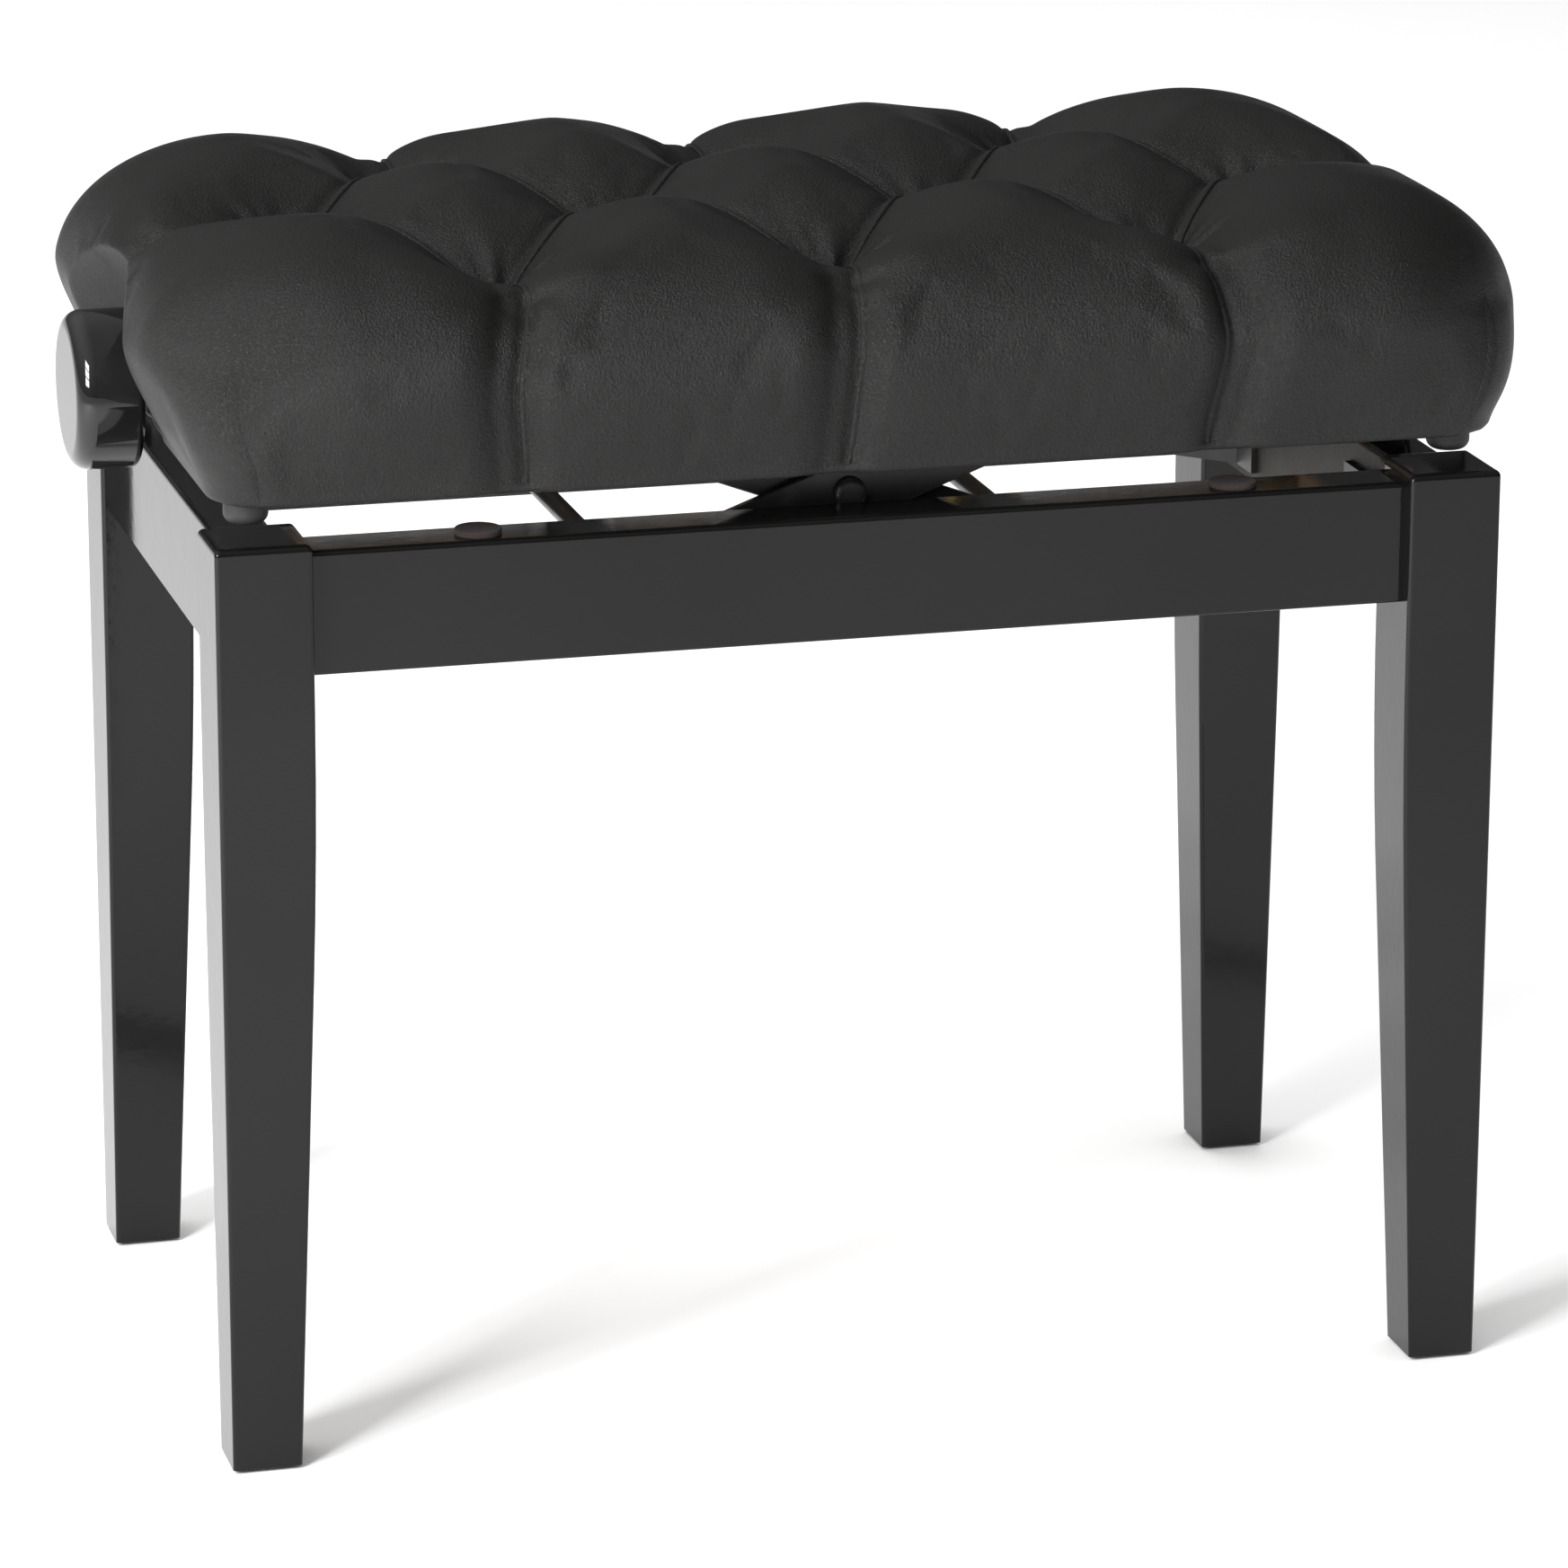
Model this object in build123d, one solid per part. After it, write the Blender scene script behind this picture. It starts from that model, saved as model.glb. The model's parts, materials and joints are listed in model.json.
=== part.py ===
from build123d import *
from math import cos, radians, sin, sqrt
import os

# Height-adjustable piano bench. Millimetres, +Z up. The origin is on the floor under the middle
# of the bench, +X runs along its length and the player sits at the -Y side.
#
# The seat is carried by a scissor at the front and one at the back. Arm A runs from a fixed rod
# in the base, at the left, to a travelling nut bar, at the right. Arm B runs from a fixed bar in
# the seat, at the left, to a rod that slides in the base rails, at the right. A threaded spindle
# with a knob at each end pulls the nut bar towards the fixed bar, which raises the seat.

os.makedirs("parts", exist_ok=True)

# ---- Legs and aprons ----
LEG_SPAN_X = 505.0
LEG_SPAN_Y = 289.0
LEG_TOP_Z = 365.5
LEG_TOP_SIZE = 37.0
LEG_FOOT_SIZE = 27.0
LEG_STRAIGHT_Z = 300.0
LEG_BEND_Z = 248.0
LEG_EDGE_R = 1.6
LEG_TOP_R = 2.6
GLIDE_T = 1.5
GLIDE_R = 9.5
GLIDE_EDGE_R = 0.5
GLIDE_PIN_R = 1.5
GLIDE_PIN_LENGTH = 14.0

APRON_TOP_Z = 361.5
APRON_HEIGHT = 48.0
APRON_T = 24.0
APRON_RECESS = 6.5
APRON_TOP_R = 2.2
APRON_BOTTOM_R = 1.2
DOWEL_R = 4.0
DOWEL_DEPTH = 14.0
DOWEL_SPACING = 24.0
DOWEL_STAGGER = 5.0
FELT_R = 9.0
FELT_T = 2.2
FELT_EDGE_R = 0.6
FELT_X = 149.0

# ---- Corner brackets between the aprons ----
BRACKET_T = 2.5
BRACKET_HEIGHT = 32.0
BRACKET_FLANGE = 16.0
BRACKET_SET = 27.0
BRACKET_DROP = 3.0
BRACKET_BOLT_R = 3.0
BOLT_START = -5.0
BOLT_PAST_NUT = 3.0
BRACKET_NUT_T = 5.0
BRACKET_NUT_R = 5.6
FLANGE_SCREW_OUT = 2.0

# ---- Wood screws ----
WOOD_SCREW_R = 2.0
WOOD_SCREW_LENGTH = 14.0
WOOD_SCREW_HEAD_R = 4.0
WOOD_SCREW_HEAD_T = 1.8
SMALL_HEAD_R = 3.3
SMALL_HEAD_T = 1.4

# ---- Scissor ----
HALF_ARM = 90.0
REST_ANGLE = 20.5
LOW_ANGLE = 18.8
HIGH_ANGLE = 63.0
CENTRE_Z = 364.0
ARM_WIDTH = 25.0
ARM_T = 4.0
ARM_A_Y = 106.0
ARM_B_Y = 101.0
ARM_EDGE = 0.5
RUN_CLEAR = 0.06
SIDE_CLEAR = 0.2
ROD_R = 4.0
BAR_PIN_R = 5.0
CENTRE_HEAD_R = 6.5
CENTRE_HEAD_T = 3.4
CENTRE_HEAD_EDGE_R = 2.6
CENTRE_NUT_R = 7.5
CENTRE_NUT_T = 4.5
CENTRE_SHANK_OUT = 5.0

# ---- Base rails and the two lower rods ----
RAIL_T = 3.0
RAIL_BOTTOM_Z = 316.0
RAIL_TOP_Z = 346.0
RAIL_FLANGE = 7.0
RAIL_HALF_LENGTH = 155.0
SLOT_CLEAR = 0.3
SLOT_END_ROOM = 3.5
SLIDER_END_ROOM = 0.4
RAIL_SCREW_INSETS = (10.0, 38.0)
RAIL_SCREW_RISE = 2.0
ROD_COLLAR_WALL = 3.5
ROD_COLLAR_T = 3.0

# ---- Bars, nut and spindle ----
BAR_SIZE = 20.0
BAR_EDGE = 1.0
BAR_HALF_LENGTH = 100.4
NUT_BAR_HALF_LENGTH = 104.5
CLIP_WALL = 3.0
CLIP_T = 1.6
SPINDLE_R = 6.0
SPINDLE_HALF_LENGTH = 275.0
SPINDLE_EDGE = 0.8
NUT_BODY_R = 8.5
NUT_FLANGE_R = 10.5
NUT_FLANGE_T = 4.0
NUT_BODY_OUT = 4.0
COLLAR_R = 9.5
COLLAR_T = 7.0
COLLAR_EDGE = 0.6

# ---- Knobs ----
KNOB_R = 31.0
KNOB_IN_X = 257.0
KNOB_OUT_X = 283.0
KNOB_FACE_R = 7.0
KNOB_BACK_R = 3.0
KNOB_SCREW_R = 2.5
KNOB_SCREW_LENGTH = 12.0
KNOB_SCREW_SET = 7.0

# ---- Seat frame and upholstery ----
SEAT_BOTTOM_Z = 382.0
SEAT_RAIL_HEIGHT = 32.0
SEAT_RAIL_T = 22.0
SEAT_FRAME_X = 240.0
SEAT_FRAME_Y = 136.0
BUSH_R = 9.0
BUSH_FLANGE_R = 12.5
BUSH_FLANGE_T = 2.0
BUSH_ROOM = 1.0
HANGER_BOTTOM_Z = 384.0
HANGER_HALF_WIDTH = 16.0
HANGER_T = 3.0
HANGER_FLANGE = 20.0
HANGER_SCREW_INSET = 6.0
HANGER_SCREW_DEPTH = 8.0
BOARD_T = 12.0
BORDER_X = 254.0
BORDER_Y = 151.0
BORDER_CORNER_R = 16.0
CUSHION_X = 272.0
CUSHION_Y = 163.0
CUSHION_TOP_Z = 475.0
CUSHION_CORNER_R = 42.0
CUSHION_TOP_R = 26.0
CUSHION_UNDER_R = 16.0
KNOB_ROOM = 3.0
LINING_T = 1.2
LINING_OUT = 3.0
LINING_OVERHANG = 8.0
STAPLE_PITCH = 26.0
STAPLE_SIZE = (9.0, 0.9, 0.5)
STAPLE_INSET = 1.0
STAPLE_END_ROOM = 20.0
BUMPER_X = 237.0
BUMPER_Y = 125.0
BUMPER_R = 8.5
BUMPER_BOTTOM_Z = 371.0
BUMPER_EDGE_R = 4.0
BUMPER_WELL = 3.0

# How far a cutting tool runs past the face it cuts.
PAST = 1.0

# ---- Worked out from the above ----
LEG_X = LEG_SPAN_X / 2
LEG_Y = LEG_SPAN_Y / 2
APRON_X = LEG_X - APRON_RECESS
APRON_Y = LEG_Y - APRON_RECESS
APRON_IN_X = APRON_X - APRON_T
APRON_IN_Y = APRON_Y - APRON_T
APRON_BOTTOM_Z = APRON_TOP_Z - APRON_HEIGHT
LEG_IN_X = LEG_X - LEG_TOP_SIZE
LEG_IN_Y = LEG_Y - LEG_TOP_SIZE
HALF_SPAN = HALF_ARM * cos(radians(REST_ANGLE))
HALF_RISE = HALF_ARM * sin(radians(REST_ANGLE))
LOW_Z = CENTRE_Z - HALF_RISE
HIGH_Z = CENTRE_Z + HALF_RISE
SEAT_RAIL_TOP_Z = SEAT_BOTTOM_Z + SEAT_RAIL_HEIGHT
BOARD_TOP_Z = SEAT_RAIL_TOP_Z + BOARD_T
LINING_Z = SEAT_BOTTOM_Z - LINING_T
FOOT_X = LEG_X - LEG_FOOT_SIZE / 2
FOOT_Y = LEG_Y - LEG_FOOT_SIZE / 2
BRACKET_Z = (APRON_TOP_Z + APRON_BOTTOM_Z) / 2 - BRACKET_DROP
BOLT_END = BRACKET_SET + BRACKET_T + BRACKET_NUT_T + BOLT_PAST_NUT
RAIL_Y = (APRON_IN_Y - RAIL_T, APRON_IN_Y)
RAIL_SCREW_Z = (RAIL_BOTTOM_Z + RAIL_TOP_Z) / 2 + RAIL_SCREW_RISE
ARM_A_OUT_Y = ARM_A_Y + ARM_T
CLIP_Y = (ARM_A_OUT_Y + SIDE_CLEAR, ARM_A_OUT_Y + SIDE_CLEAR + CLIP_T)
KNOB_SCREW_X = KNOB_IN_X + KNOB_SCREW_SET
SEAT_RAIL_IN_X = SEAT_FRAME_X - SEAT_RAIL_T
SEAT_RAIL_IN_Y = SEAT_FRAME_Y - SEAT_RAIL_T
HANGER_OUT_Y = ARM_A_Y + HANGER_T
SIDES = (-1, 1)
FRONT_BACK = ((-1, "front"), (1, "back"))
LEFT_RIGHT = ((-1, "left"), (1, "right"))
CORNERS = [(sx, sy) for sx in SIDES for sy in SIDES]


def write(name, *solids):
    """Write one sub-part, which may be a group of identical solids."""
    shape = solids[0] if len(solids) == 1 else Compound(children=list(solids))
    export_step(shape, f"parts/{name}.step")


def block(x, y, z):
    """A box from its (low, high) pair along each axis."""
    size = [high - low for low, high in (x, y, z)]
    middle = [(high + low) / 2 for low, high in (x, y, z)]
    return Pos(*middle) * Box(*size)


def span(sign, near, far):
    """The (low, high) pair of a distance from the middle, on the side that sign gives."""
    return tuple(sorted((sign * near, sign * far)))


def along_x(radius, x, y=0.0, z=HIGH_Z):
    return Pos((x[0] + x[1]) / 2, y, z) * Rot(0, 90, 0) * Cylinder(radius, x[1] - x[0])


def along_y(radius, y, x, z):
    return Pos(x, (y[0] + y[1]) / 2, z) * Rot(90, 0, 0) * Cylinder(radius, y[1] - y[0])


def along_z(radius, z, x, y):
    return Pos(x, y, (z[0] + z[1]) / 2) * Cylinder(radius, z[1] - z[0])


def upright_of(shape):
    """The edges of a shape that are not level."""
    level = shape.edges().filter_by(lambda edge: abs(edge.bounding_box().size.Z) < 0.01)
    return shape.edges() - level


# ---------------------------------------------------------------- legs

def leg_profile():
    """Side view of a leg: upright outer face, and an inner face that bends into a taper."""
    slope = (LEG_TOP_SIZE - LEG_FOOT_SIZE) / LEG_BEND_Z
    reach = LEG_STRAIGHT_Z - LEG_BEND_Z
    bend_low_z = LEG_BEND_Z - reach / sqrt(1 + slope * slope)
    width_at_bend = LEG_TOP_SIZE - slope * (LEG_BEND_Z - bend_low_z)
    foot_width = LEG_FOOT_SIZE + slope * GLIDE_T
    top_in = (-LEG_TOP_SIZE, LEG_TOP_Z)
    straight_end = (-LEG_TOP_SIZE, LEG_STRAIGHT_Z)
    taper_start = (-width_at_bend, bend_low_z)
    with BuildSketch(Plane.XZ) as profile:
        with BuildLine():
            Polyline((-foot_width, GLIDE_T), (0, GLIDE_T), (0, LEG_TOP_Z), top_in, straight_end)
            TangentArc(straight_end, taper_start, tangent=(0, -1))
            Line(taper_start, (-foot_width, GLIDE_T))
        make_face()
    return profile.sketch


def plain_leg():
    """A leg whose outer corner stands on the origin and whose body lies towards -X and -Y."""
    width = extrude(leg_profile(), amount=2 * LEG_TOP_SIZE, both=True)
    leg = width & (Rot(0, 0, 90) * width)
    leg = fillet(upright_of(leg), LEG_EDGE_R)
    return fillet(leg.edges().group_by(Axis.Z)[-1], LEG_TOP_R)


def dowel_place(axis, sx, sy, offset):
    """Centre of a dowel, on the leg face that an apron butts against."""
    z = (APRON_TOP_Z + APRON_BOTTOM_Z) / 2 + offset
    if axis == "x":
        return (sx * LEG_IN_X, sy * (APRON_Y + APRON_IN_Y) / 2, z)
    return (sx * (APRON_X + APRON_IN_X) / 2, sy * LEG_IN_Y, z)


def dowel(axis, sx, sy, offset):
    x, y, z = dowel_place(axis, sx, sy, offset)
    if axis == "x":
        return along_x(DOWEL_R, (x - DOWEL_DEPTH, x + DOWEL_DEPTH), y, z)
    return along_y(DOWEL_R, (y - DOWEL_DEPTH, y + DOWEL_DEPTH), x, z)


def corner_dowels(sx, sy):
    """The four dowels of one corner. The pairs sit at different heights, so they don't meet."""
    pairs = []
    for axis, shift in (("x", DOWEL_STAGGER), ("y", -DOWEL_STAGGER)):
        for half in SIDES:
            pairs.append(dowel(axis, sx, sy, shift + half * DOWEL_SPACING / 2))
    return pairs


def diagonal(sx, sy, near, far, radius, z):
    """A round bar along the diagonal of a corner, from near to far inside the apron corner."""
    inner = Vector(sx * APRON_IN_X, sy * APRON_IN_Y, z)
    inward = Vector(-sx, -sy, 0).normalized()
    start = inner + inward * near
    return Plane(origin=start, z_dir=inward) * Cylinder(
        radius, far - near, align=(Align.CENTER, Align.CENTER, Align.MIN)
    )


def corner_bolt(sx, sy):
    """The hanger bolt that draws a leg into its corner."""
    return diagonal(sx, sy, BOLT_START, BOLT_END, BRACKET_BOLT_R, BRACKET_Z)


def leg(sx, sy):
    """A leg in its corner, drilled for its dowels, its bolt and its glide."""
    shape = plain_leg().moved(Location((LEG_X, LEG_Y, 0)))
    if sx < 0:
        shape = shape.mirror(Plane.YZ)
    if sy < 0:
        shape = shape.mirror(Plane.XZ)
    for pin in corner_dowels(sx, sy):
        shape -= pin
    shape -= corner_bolt(sx, sy)
    return shape - along_z(GLIDE_PIN_R, (0, GLIDE_T + GLIDE_PIN_LENGTH), sx * FOOT_X, sy * FOOT_Y)


for sx, across in LEFT_RIGHT:
    for sy, along in FRONT_BACK:
        write(f"leg_{along}_{across}", leg(sx, sy))


def glide(sx, sy):
    """A round nail-on glide: a disc under the foot with a pin up into the leg."""
    x = sx * FOOT_X
    y = sy * FOOT_Y
    disc = along_z(GLIDE_R, (0, GLIDE_T), x, y)
    disc = fillet(disc.edges().group_by(Axis.Z)[0], GLIDE_EDGE_R)
    return disc + along_z(GLIDE_PIN_R, (GLIDE_T, GLIDE_T + GLIDE_PIN_LENGTH), x, y)


write("leg_glides", *[glide(sx, sy) for sx, sy in CORNERS])


# ---------------------------------------------------------------- aprons

def soften(board, axis):
    """Round the long edges of an apron, more at the top than at the bottom."""
    rims = board.edges().filter_by(axis).group_by(Axis.Z)
    board = fillet(rims[-1], APRON_TOP_R)
    rims = board.edges().filter_by(axis).group_by(Axis.Z)
    return fillet(rims[0], APRON_BOTTOM_R)


def bracket_screw_places(sx, sy):
    """Where the two flange screws of a bracket enter the aprons, with the axis they lie along."""
    reach = BRACKET_SET * sqrt(2) + BRACKET_FLANGE / 2 + FLANGE_SCREW_OUT
    return [
        ("y", sx * (APRON_IN_X - reach), sy * (APRON_IN_Y - BRACKET_T)),
        ("x", sx * (APRON_IN_X - BRACKET_T), sy * (APRON_IN_Y - reach)),
    ]


def wood_screw(axis, x, y, z, sign):
    """A pan-head screw whose head rests at (x, y, z) and whose shank points outwards."""
    face = abs(y if axis == "y" else x)
    shank = span(sign, face, face + WOOD_SCREW_LENGTH)
    head = span(sign, face - WOOD_SCREW_HEAD_T, face)
    if axis == "y":
        return along_y(WOOD_SCREW_R, shank, x, z) + along_y(WOOD_SCREW_HEAD_R, head, x, z)
    return along_x(WOOD_SCREW_R, shank, y, z) + along_x(WOOD_SCREW_HEAD_R, head, y, z)


def corner_screws(sx, sy):
    """The two screws that hold one bracket."""
    screws = []
    for axis, x, y in bracket_screw_places(sx, sy):
        screws.append(wood_screw(axis, x, y, BRACKET_Z, sy if axis == "y" else sx))
    return screws


def side_rail_screws(sy):
    """The four screws that hold one base rail to its apron."""
    screws = []
    for inset in RAIL_SCREW_INSETS:
        for sx in SIDES:
            x = sx * (RAIL_HALF_LENGTH - inset)
            screws.append(wood_screw("y", x, sy * RAIL_Y[0], RAIL_SCREW_Z, sy))
    return screws


bracket_screws = [screw for sx, sy in CORNERS for screw in corner_screws(sx, sy)]
rail_screws = [screw for sy in SIDES for screw in side_rail_screws(sy)]
all_dowels = [pin for sx, sy in CORNERS for pin in corner_dowels(sx, sy)]


def drilled(board):
    """Cut an apron's dowel and screw holes."""
    for tool in all_dowels + bracket_screws + rail_screws:
        board -= tool
    return board


apron_z = (APRON_BOTTOM_Z, APRON_TOP_Z)
for sign, name in FRONT_BACK:
    board = soften(block((-LEG_IN_X, LEG_IN_X), span(sign, APRON_IN_Y, APRON_Y), apron_z), Axis.X)
    write(f"apron_{name}", drilled(board))
for sign, name in LEFT_RIGHT:
    board = soften(block(span(sign, APRON_IN_X, APRON_X), (-LEG_IN_Y, LEG_IN_Y), apron_z), Axis.Y)
    write(f"apron_{name}", drilled(board))
write("apron_dowels", *all_dowels)


def felt_dot(sx, sy):
    y = sy * (APRON_Y + APRON_IN_Y) / 2
    dot = along_z(FELT_R, (APRON_TOP_Z, APRON_TOP_Z + FELT_T), sx * FELT_X, y)
    return fillet(dot.edges().group_by(Axis.Z)[-1], FELT_EDGE_R)


write("felt_dots", *[felt_dot(sx, sy) for sx, sy in CORNERS])


# ---------------------------------------------------------------- corner brackets

def bracket(sx, sy):
    """A folded steel strip across a corner, with a flange along each apron."""
    leg = BRACKET_SET * sqrt(2)
    thick = BRACKET_T * sqrt(2)
    outline = [
        (0, -leg),
        (0, -leg - BRACKET_FLANGE - thick),
        (-BRACKET_T, -leg - BRACKET_FLANGE - thick),
        (-BRACKET_T, -leg - thick + BRACKET_T),
        (-leg - thick + BRACKET_T, -BRACKET_T),
        (-leg - BRACKET_FLANGE - thick, -BRACKET_T),
        (-leg - BRACKET_FLANGE - thick, 0),
        (-leg, 0),
    ]
    placed = [(sx * (APRON_IN_X + x), sy * (APRON_IN_Y + y)) for x, y in outline]
    face = Pos(0, 0, BRACKET_Z - BRACKET_HEIGHT / 2) * make_face(Polyline(*placed, close=True))
    strip = extrude(face, amount=BRACKET_HEIGHT, dir=(0, 0, 1))
    strip -= corner_bolt(sx, sy)
    for screw in corner_screws(sx, sy):
        strip -= screw
    return strip


def bracket_nut(sx, sy):
    """A hexagon nut that pulls the leg into the corner."""
    near = BRACKET_SET + BRACKET_T
    inward = Vector(-sx, -sy, 0).normalized()
    start = Vector(sx * APRON_IN_X, sy * APRON_IN_Y, BRACKET_Z) + inward * near
    hexagon = Plane(origin=start, z_dir=inward) * RegularPolygon(BRACKET_NUT_R, 6)
    return extrude(hexagon, amount=BRACKET_NUT_T, dir=inward) - corner_bolt(sx, sy)


write("corner_brackets", *[bracket(sx, sy) for sx, sy in CORNERS])
write("corner_bolts", *[corner_bolt(sx, sy) for sx, sy in CORNERS])
write("corner_nuts", *[bracket_nut(sx, sy) for sx, sy in CORNERS])
write("bracket_screws", *bracket_screws)


# ---------------------------------------------------------------- base rails and lower rods

slide_far = -HALF_SPAN + 2 * HALF_ARM * cos(radians(LOW_ANGLE)) + SLOT_END_ROOM
slide_near = -HALF_SPAN + 2 * HALF_ARM * cos(radians(HIGH_ANGLE)) - SLOT_END_ROOM


def base_rail(sign):
    """An angle section on the inside of an apron: pivot hole at the left, slot at the right."""
    length = (-RAIL_HALF_LENGTH, RAIL_HALF_LENGTH)
    upright = block(length, span(sign, *RAIL_Y), (RAIL_BOTTOM_Z, RAIL_TOP_Z))
    foot_y = span(sign, RAIL_Y[1] - RAIL_FLANGE, RAIL_Y[1])
    foot = block(length, foot_y, (RAIL_BOTTOM_Z, RAIL_BOTTOM_Z + RAIL_T))
    rail = upright + foot
    rail -= along_y(ROD_R, span(sign, *RAIL_Y), -HALF_SPAN, LOW_Z)
    slot_size = (slide_far - slide_near, 2 * (ROD_R + SLOT_CLEAR))
    slot = extrude(SlotCenterToCenter(*slot_size), amount=RAIL_FLANGE, both=True)
    middle = ((slide_far + slide_near) / 2, sign * RAIL_Y[1], LOW_Z)
    rail -= Pos(*middle) * Rot(90, 0, 0) * slot & upright
    for screw in rail_screws:
        rail -= screw
    return rail


for sign, name in FRONT_BACK:
    write(f"base_rail_{name}", base_rail(sign))
write("rail_screws", *rail_screws)

write("lower_pivot_rod", along_y(ROD_R, (-APRON_IN_Y, APRON_IN_Y), -HALF_SPAN, LOW_Z))


def rod_collar(sign, near, far):
    """A ring pressed on the fixed rod that keeps an arm in its place."""
    ring = along_y(ROD_R + ROD_COLLAR_WALL, span(sign, near, far), -HALF_SPAN, LOW_Z)
    return ring - along_y(ROD_R, span(sign, near, far), -HALF_SPAN, LOW_Z)


inner_collar = (ARM_A_Y - SIDE_CLEAR - ROD_COLLAR_T, ARM_A_Y - SIDE_CLEAR)
collars = [rod_collar(s, ARM_A_OUT_Y + SIDE_CLEAR, RAIL_Y[0]) for s in SIDES]
collars += [rod_collar(s, *inner_collar) for s in SIDES]
write("rod_collars", *collars)


# ---------------------------------------------------------------- scissor arms

def arm(near_y, angle, holes, sign):
    """A flat arm with round ends. holes gives the radius at its left end, middle and right end."""
    with BuildSketch() as flat:
        SlotCenterToCenter(2 * HALF_ARM, ARM_WIDTH)
        for radius, x in zip(holes, (-HALF_ARM, 0, HALF_ARM)):
            with Locations((x, 0)):
                Circle(radius, mode=Mode.SUBTRACT)
    plate = extrude(flat.sketch, amount=ARM_T)
    rims = plate.faces().filter_by(Axis.Z).edges()
    plate = chamfer(rims.filter_by(lambda edge: edge.length > 2 * ARM_WIDTH), ARM_EDGE)
    outer = sign * (near_y + (ARM_T if sign > 0 else 0))
    return Pos(0, outer, CENTRE_Z) * Rot(0, -angle, 0) * Rot(90, 0, 0) * plate


holes_a = (ROD_R + RUN_CLEAR, ROD_R, BAR_PIN_R + RUN_CLEAR)
holes_b = (BAR_PIN_R + RUN_CLEAR, ROD_R + RUN_CLEAR, ROD_R)
for sign, name in FRONT_BACK:
    write(f"scissor_arm_a_{name}", arm(ARM_A_Y, REST_ANGLE, holes_a, sign))
    write(f"scissor_arm_b_{name}", arm(ARM_B_Y, -REST_ANGLE, holes_b, sign))


def centre_bolt(sign):
    """The scissor's middle pivot: a shank fixed in arm A with a domed head outside it."""
    shank = along_y(ROD_R, span(sign, ARM_B_Y - CENTRE_SHANK_OUT, ARM_A_OUT_Y), 0, CENTRE_Z)
    head_y = span(sign, ARM_A_OUT_Y, ARM_A_OUT_Y + CENTRE_HEAD_T)
    head = along_y(CENTRE_HEAD_R, head_y, 0, CENTRE_Z)
    rims = head.edges().group_by(Axis.Y)
    return shank + fillet(rims[0] if sign < 0 else rims[-1], CENTRE_HEAD_EDGE_R)


def centre_nut(sign):
    """The nut on the end of a centre bolt, just clear of arm B."""
    near = ARM_B_Y - SIDE_CLEAR - CENTRE_NUT_T
    plane = Plane(origin=(0, sign * near, CENTRE_Z), z_dir=(0, sign, 0))
    hexagon = extrude(plane * RegularPolygon(CENTRE_NUT_R, 6), amount=CENTRE_NUT_T, dir=(0, sign, 0))
    return hexagon - along_y(ROD_R, span(sign, near - PAST, ARM_B_Y), 0, CENTRE_Z)


write("centre_bolts", *[centre_bolt(s) for s in SIDES])
write("centre_nuts", *[centre_nut(s) for s in SIDES])

slider_half = APRON_IN_Y - SLIDER_END_ROOM
write("slider_rod", along_y(ROD_R, (-slider_half, slider_half), HALF_SPAN, LOW_Z))


# ---------------------------------------------------------------- bars, nut and spindle

def bar(x, half_length, pin_end, bore):
    """A square bar across the bench with a round pin at each end and a bore for the spindle."""
    half = BAR_SIZE / 2
    body = block((x - half, x + half), (-half_length, half_length), (HIGH_Z - half, HIGH_Z + half))
    body = chamfer(body.edges().filter_by(Axis.Y), BAR_EDGE)
    body += along_y(BAR_PIN_R, (-pin_end, pin_end), x, HIGH_Z)
    return body - along_x(bore, (x - BAR_SIZE, x + BAR_SIZE))


write("fixed_bar", bar(-HALF_SPAN, BAR_HALF_LENGTH, ARM_A_OUT_Y, SPINDLE_R + RUN_CLEAR))
write("nut_bar", bar(HALF_SPAN, NUT_BAR_HALF_LENGTH, CLIP_Y[1], NUT_BODY_R))


def bar_clip(sign):
    """A retaining ring on the nut bar's pin, outside arm A."""
    ring = along_y(BAR_PIN_R + CLIP_WALL, span(sign, *CLIP_Y), HALF_SPAN, HIGH_Z)
    return ring - along_y(BAR_PIN_R, span(sign, *CLIP_Y), HALF_SPAN, HIGH_Z)


write("nut_bar_clips", *[bar_clip(s) for s in SIDES])

bar_face = HALF_SPAN + BAR_SIZE / 2
nut = along_x(NUT_BODY_R, (HALF_SPAN - BAR_SIZE / 2 - NUT_BODY_OUT, bar_face))
nut += along_x(NUT_FLANGE_R, (bar_face, bar_face + NUT_FLANGE_T))
nut -= along_x(SPINDLE_R + RUN_CLEAR, (0, 2 * HALF_SPAN))
write("travelling_nut", nut)

spindle = along_x(SPINDLE_R, (-SPINDLE_HALF_LENGTH, SPINDLE_HALF_LENGTH))
write("spindle", chamfer(spindle.edges(), SPINDLE_EDGE))


def thrust_collar(sign):
    """A collar fixed to the spindle on each side of the fixed bar, which takes its pull."""
    near = BAR_SIZE / 2 + SIDE_CLEAR
    x = sorted((-HALF_SPAN + sign * near, -HALF_SPAN + sign * (near + COLLAR_T)))
    ring = along_x(COLLAR_R, x) - along_x(SPINDLE_R, x)
    rims = ring.edges().filter_by(GeomType.CIRCLE)
    return chamfer(rims.filter_by(lambda rim: rim.radius > SPINDLE_R + 1), COLLAR_EDGE)


write("thrust_collars", *[thrust_collar(s) for s in SIDES])


# ---------------------------------------------------------------- knobs

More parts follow.
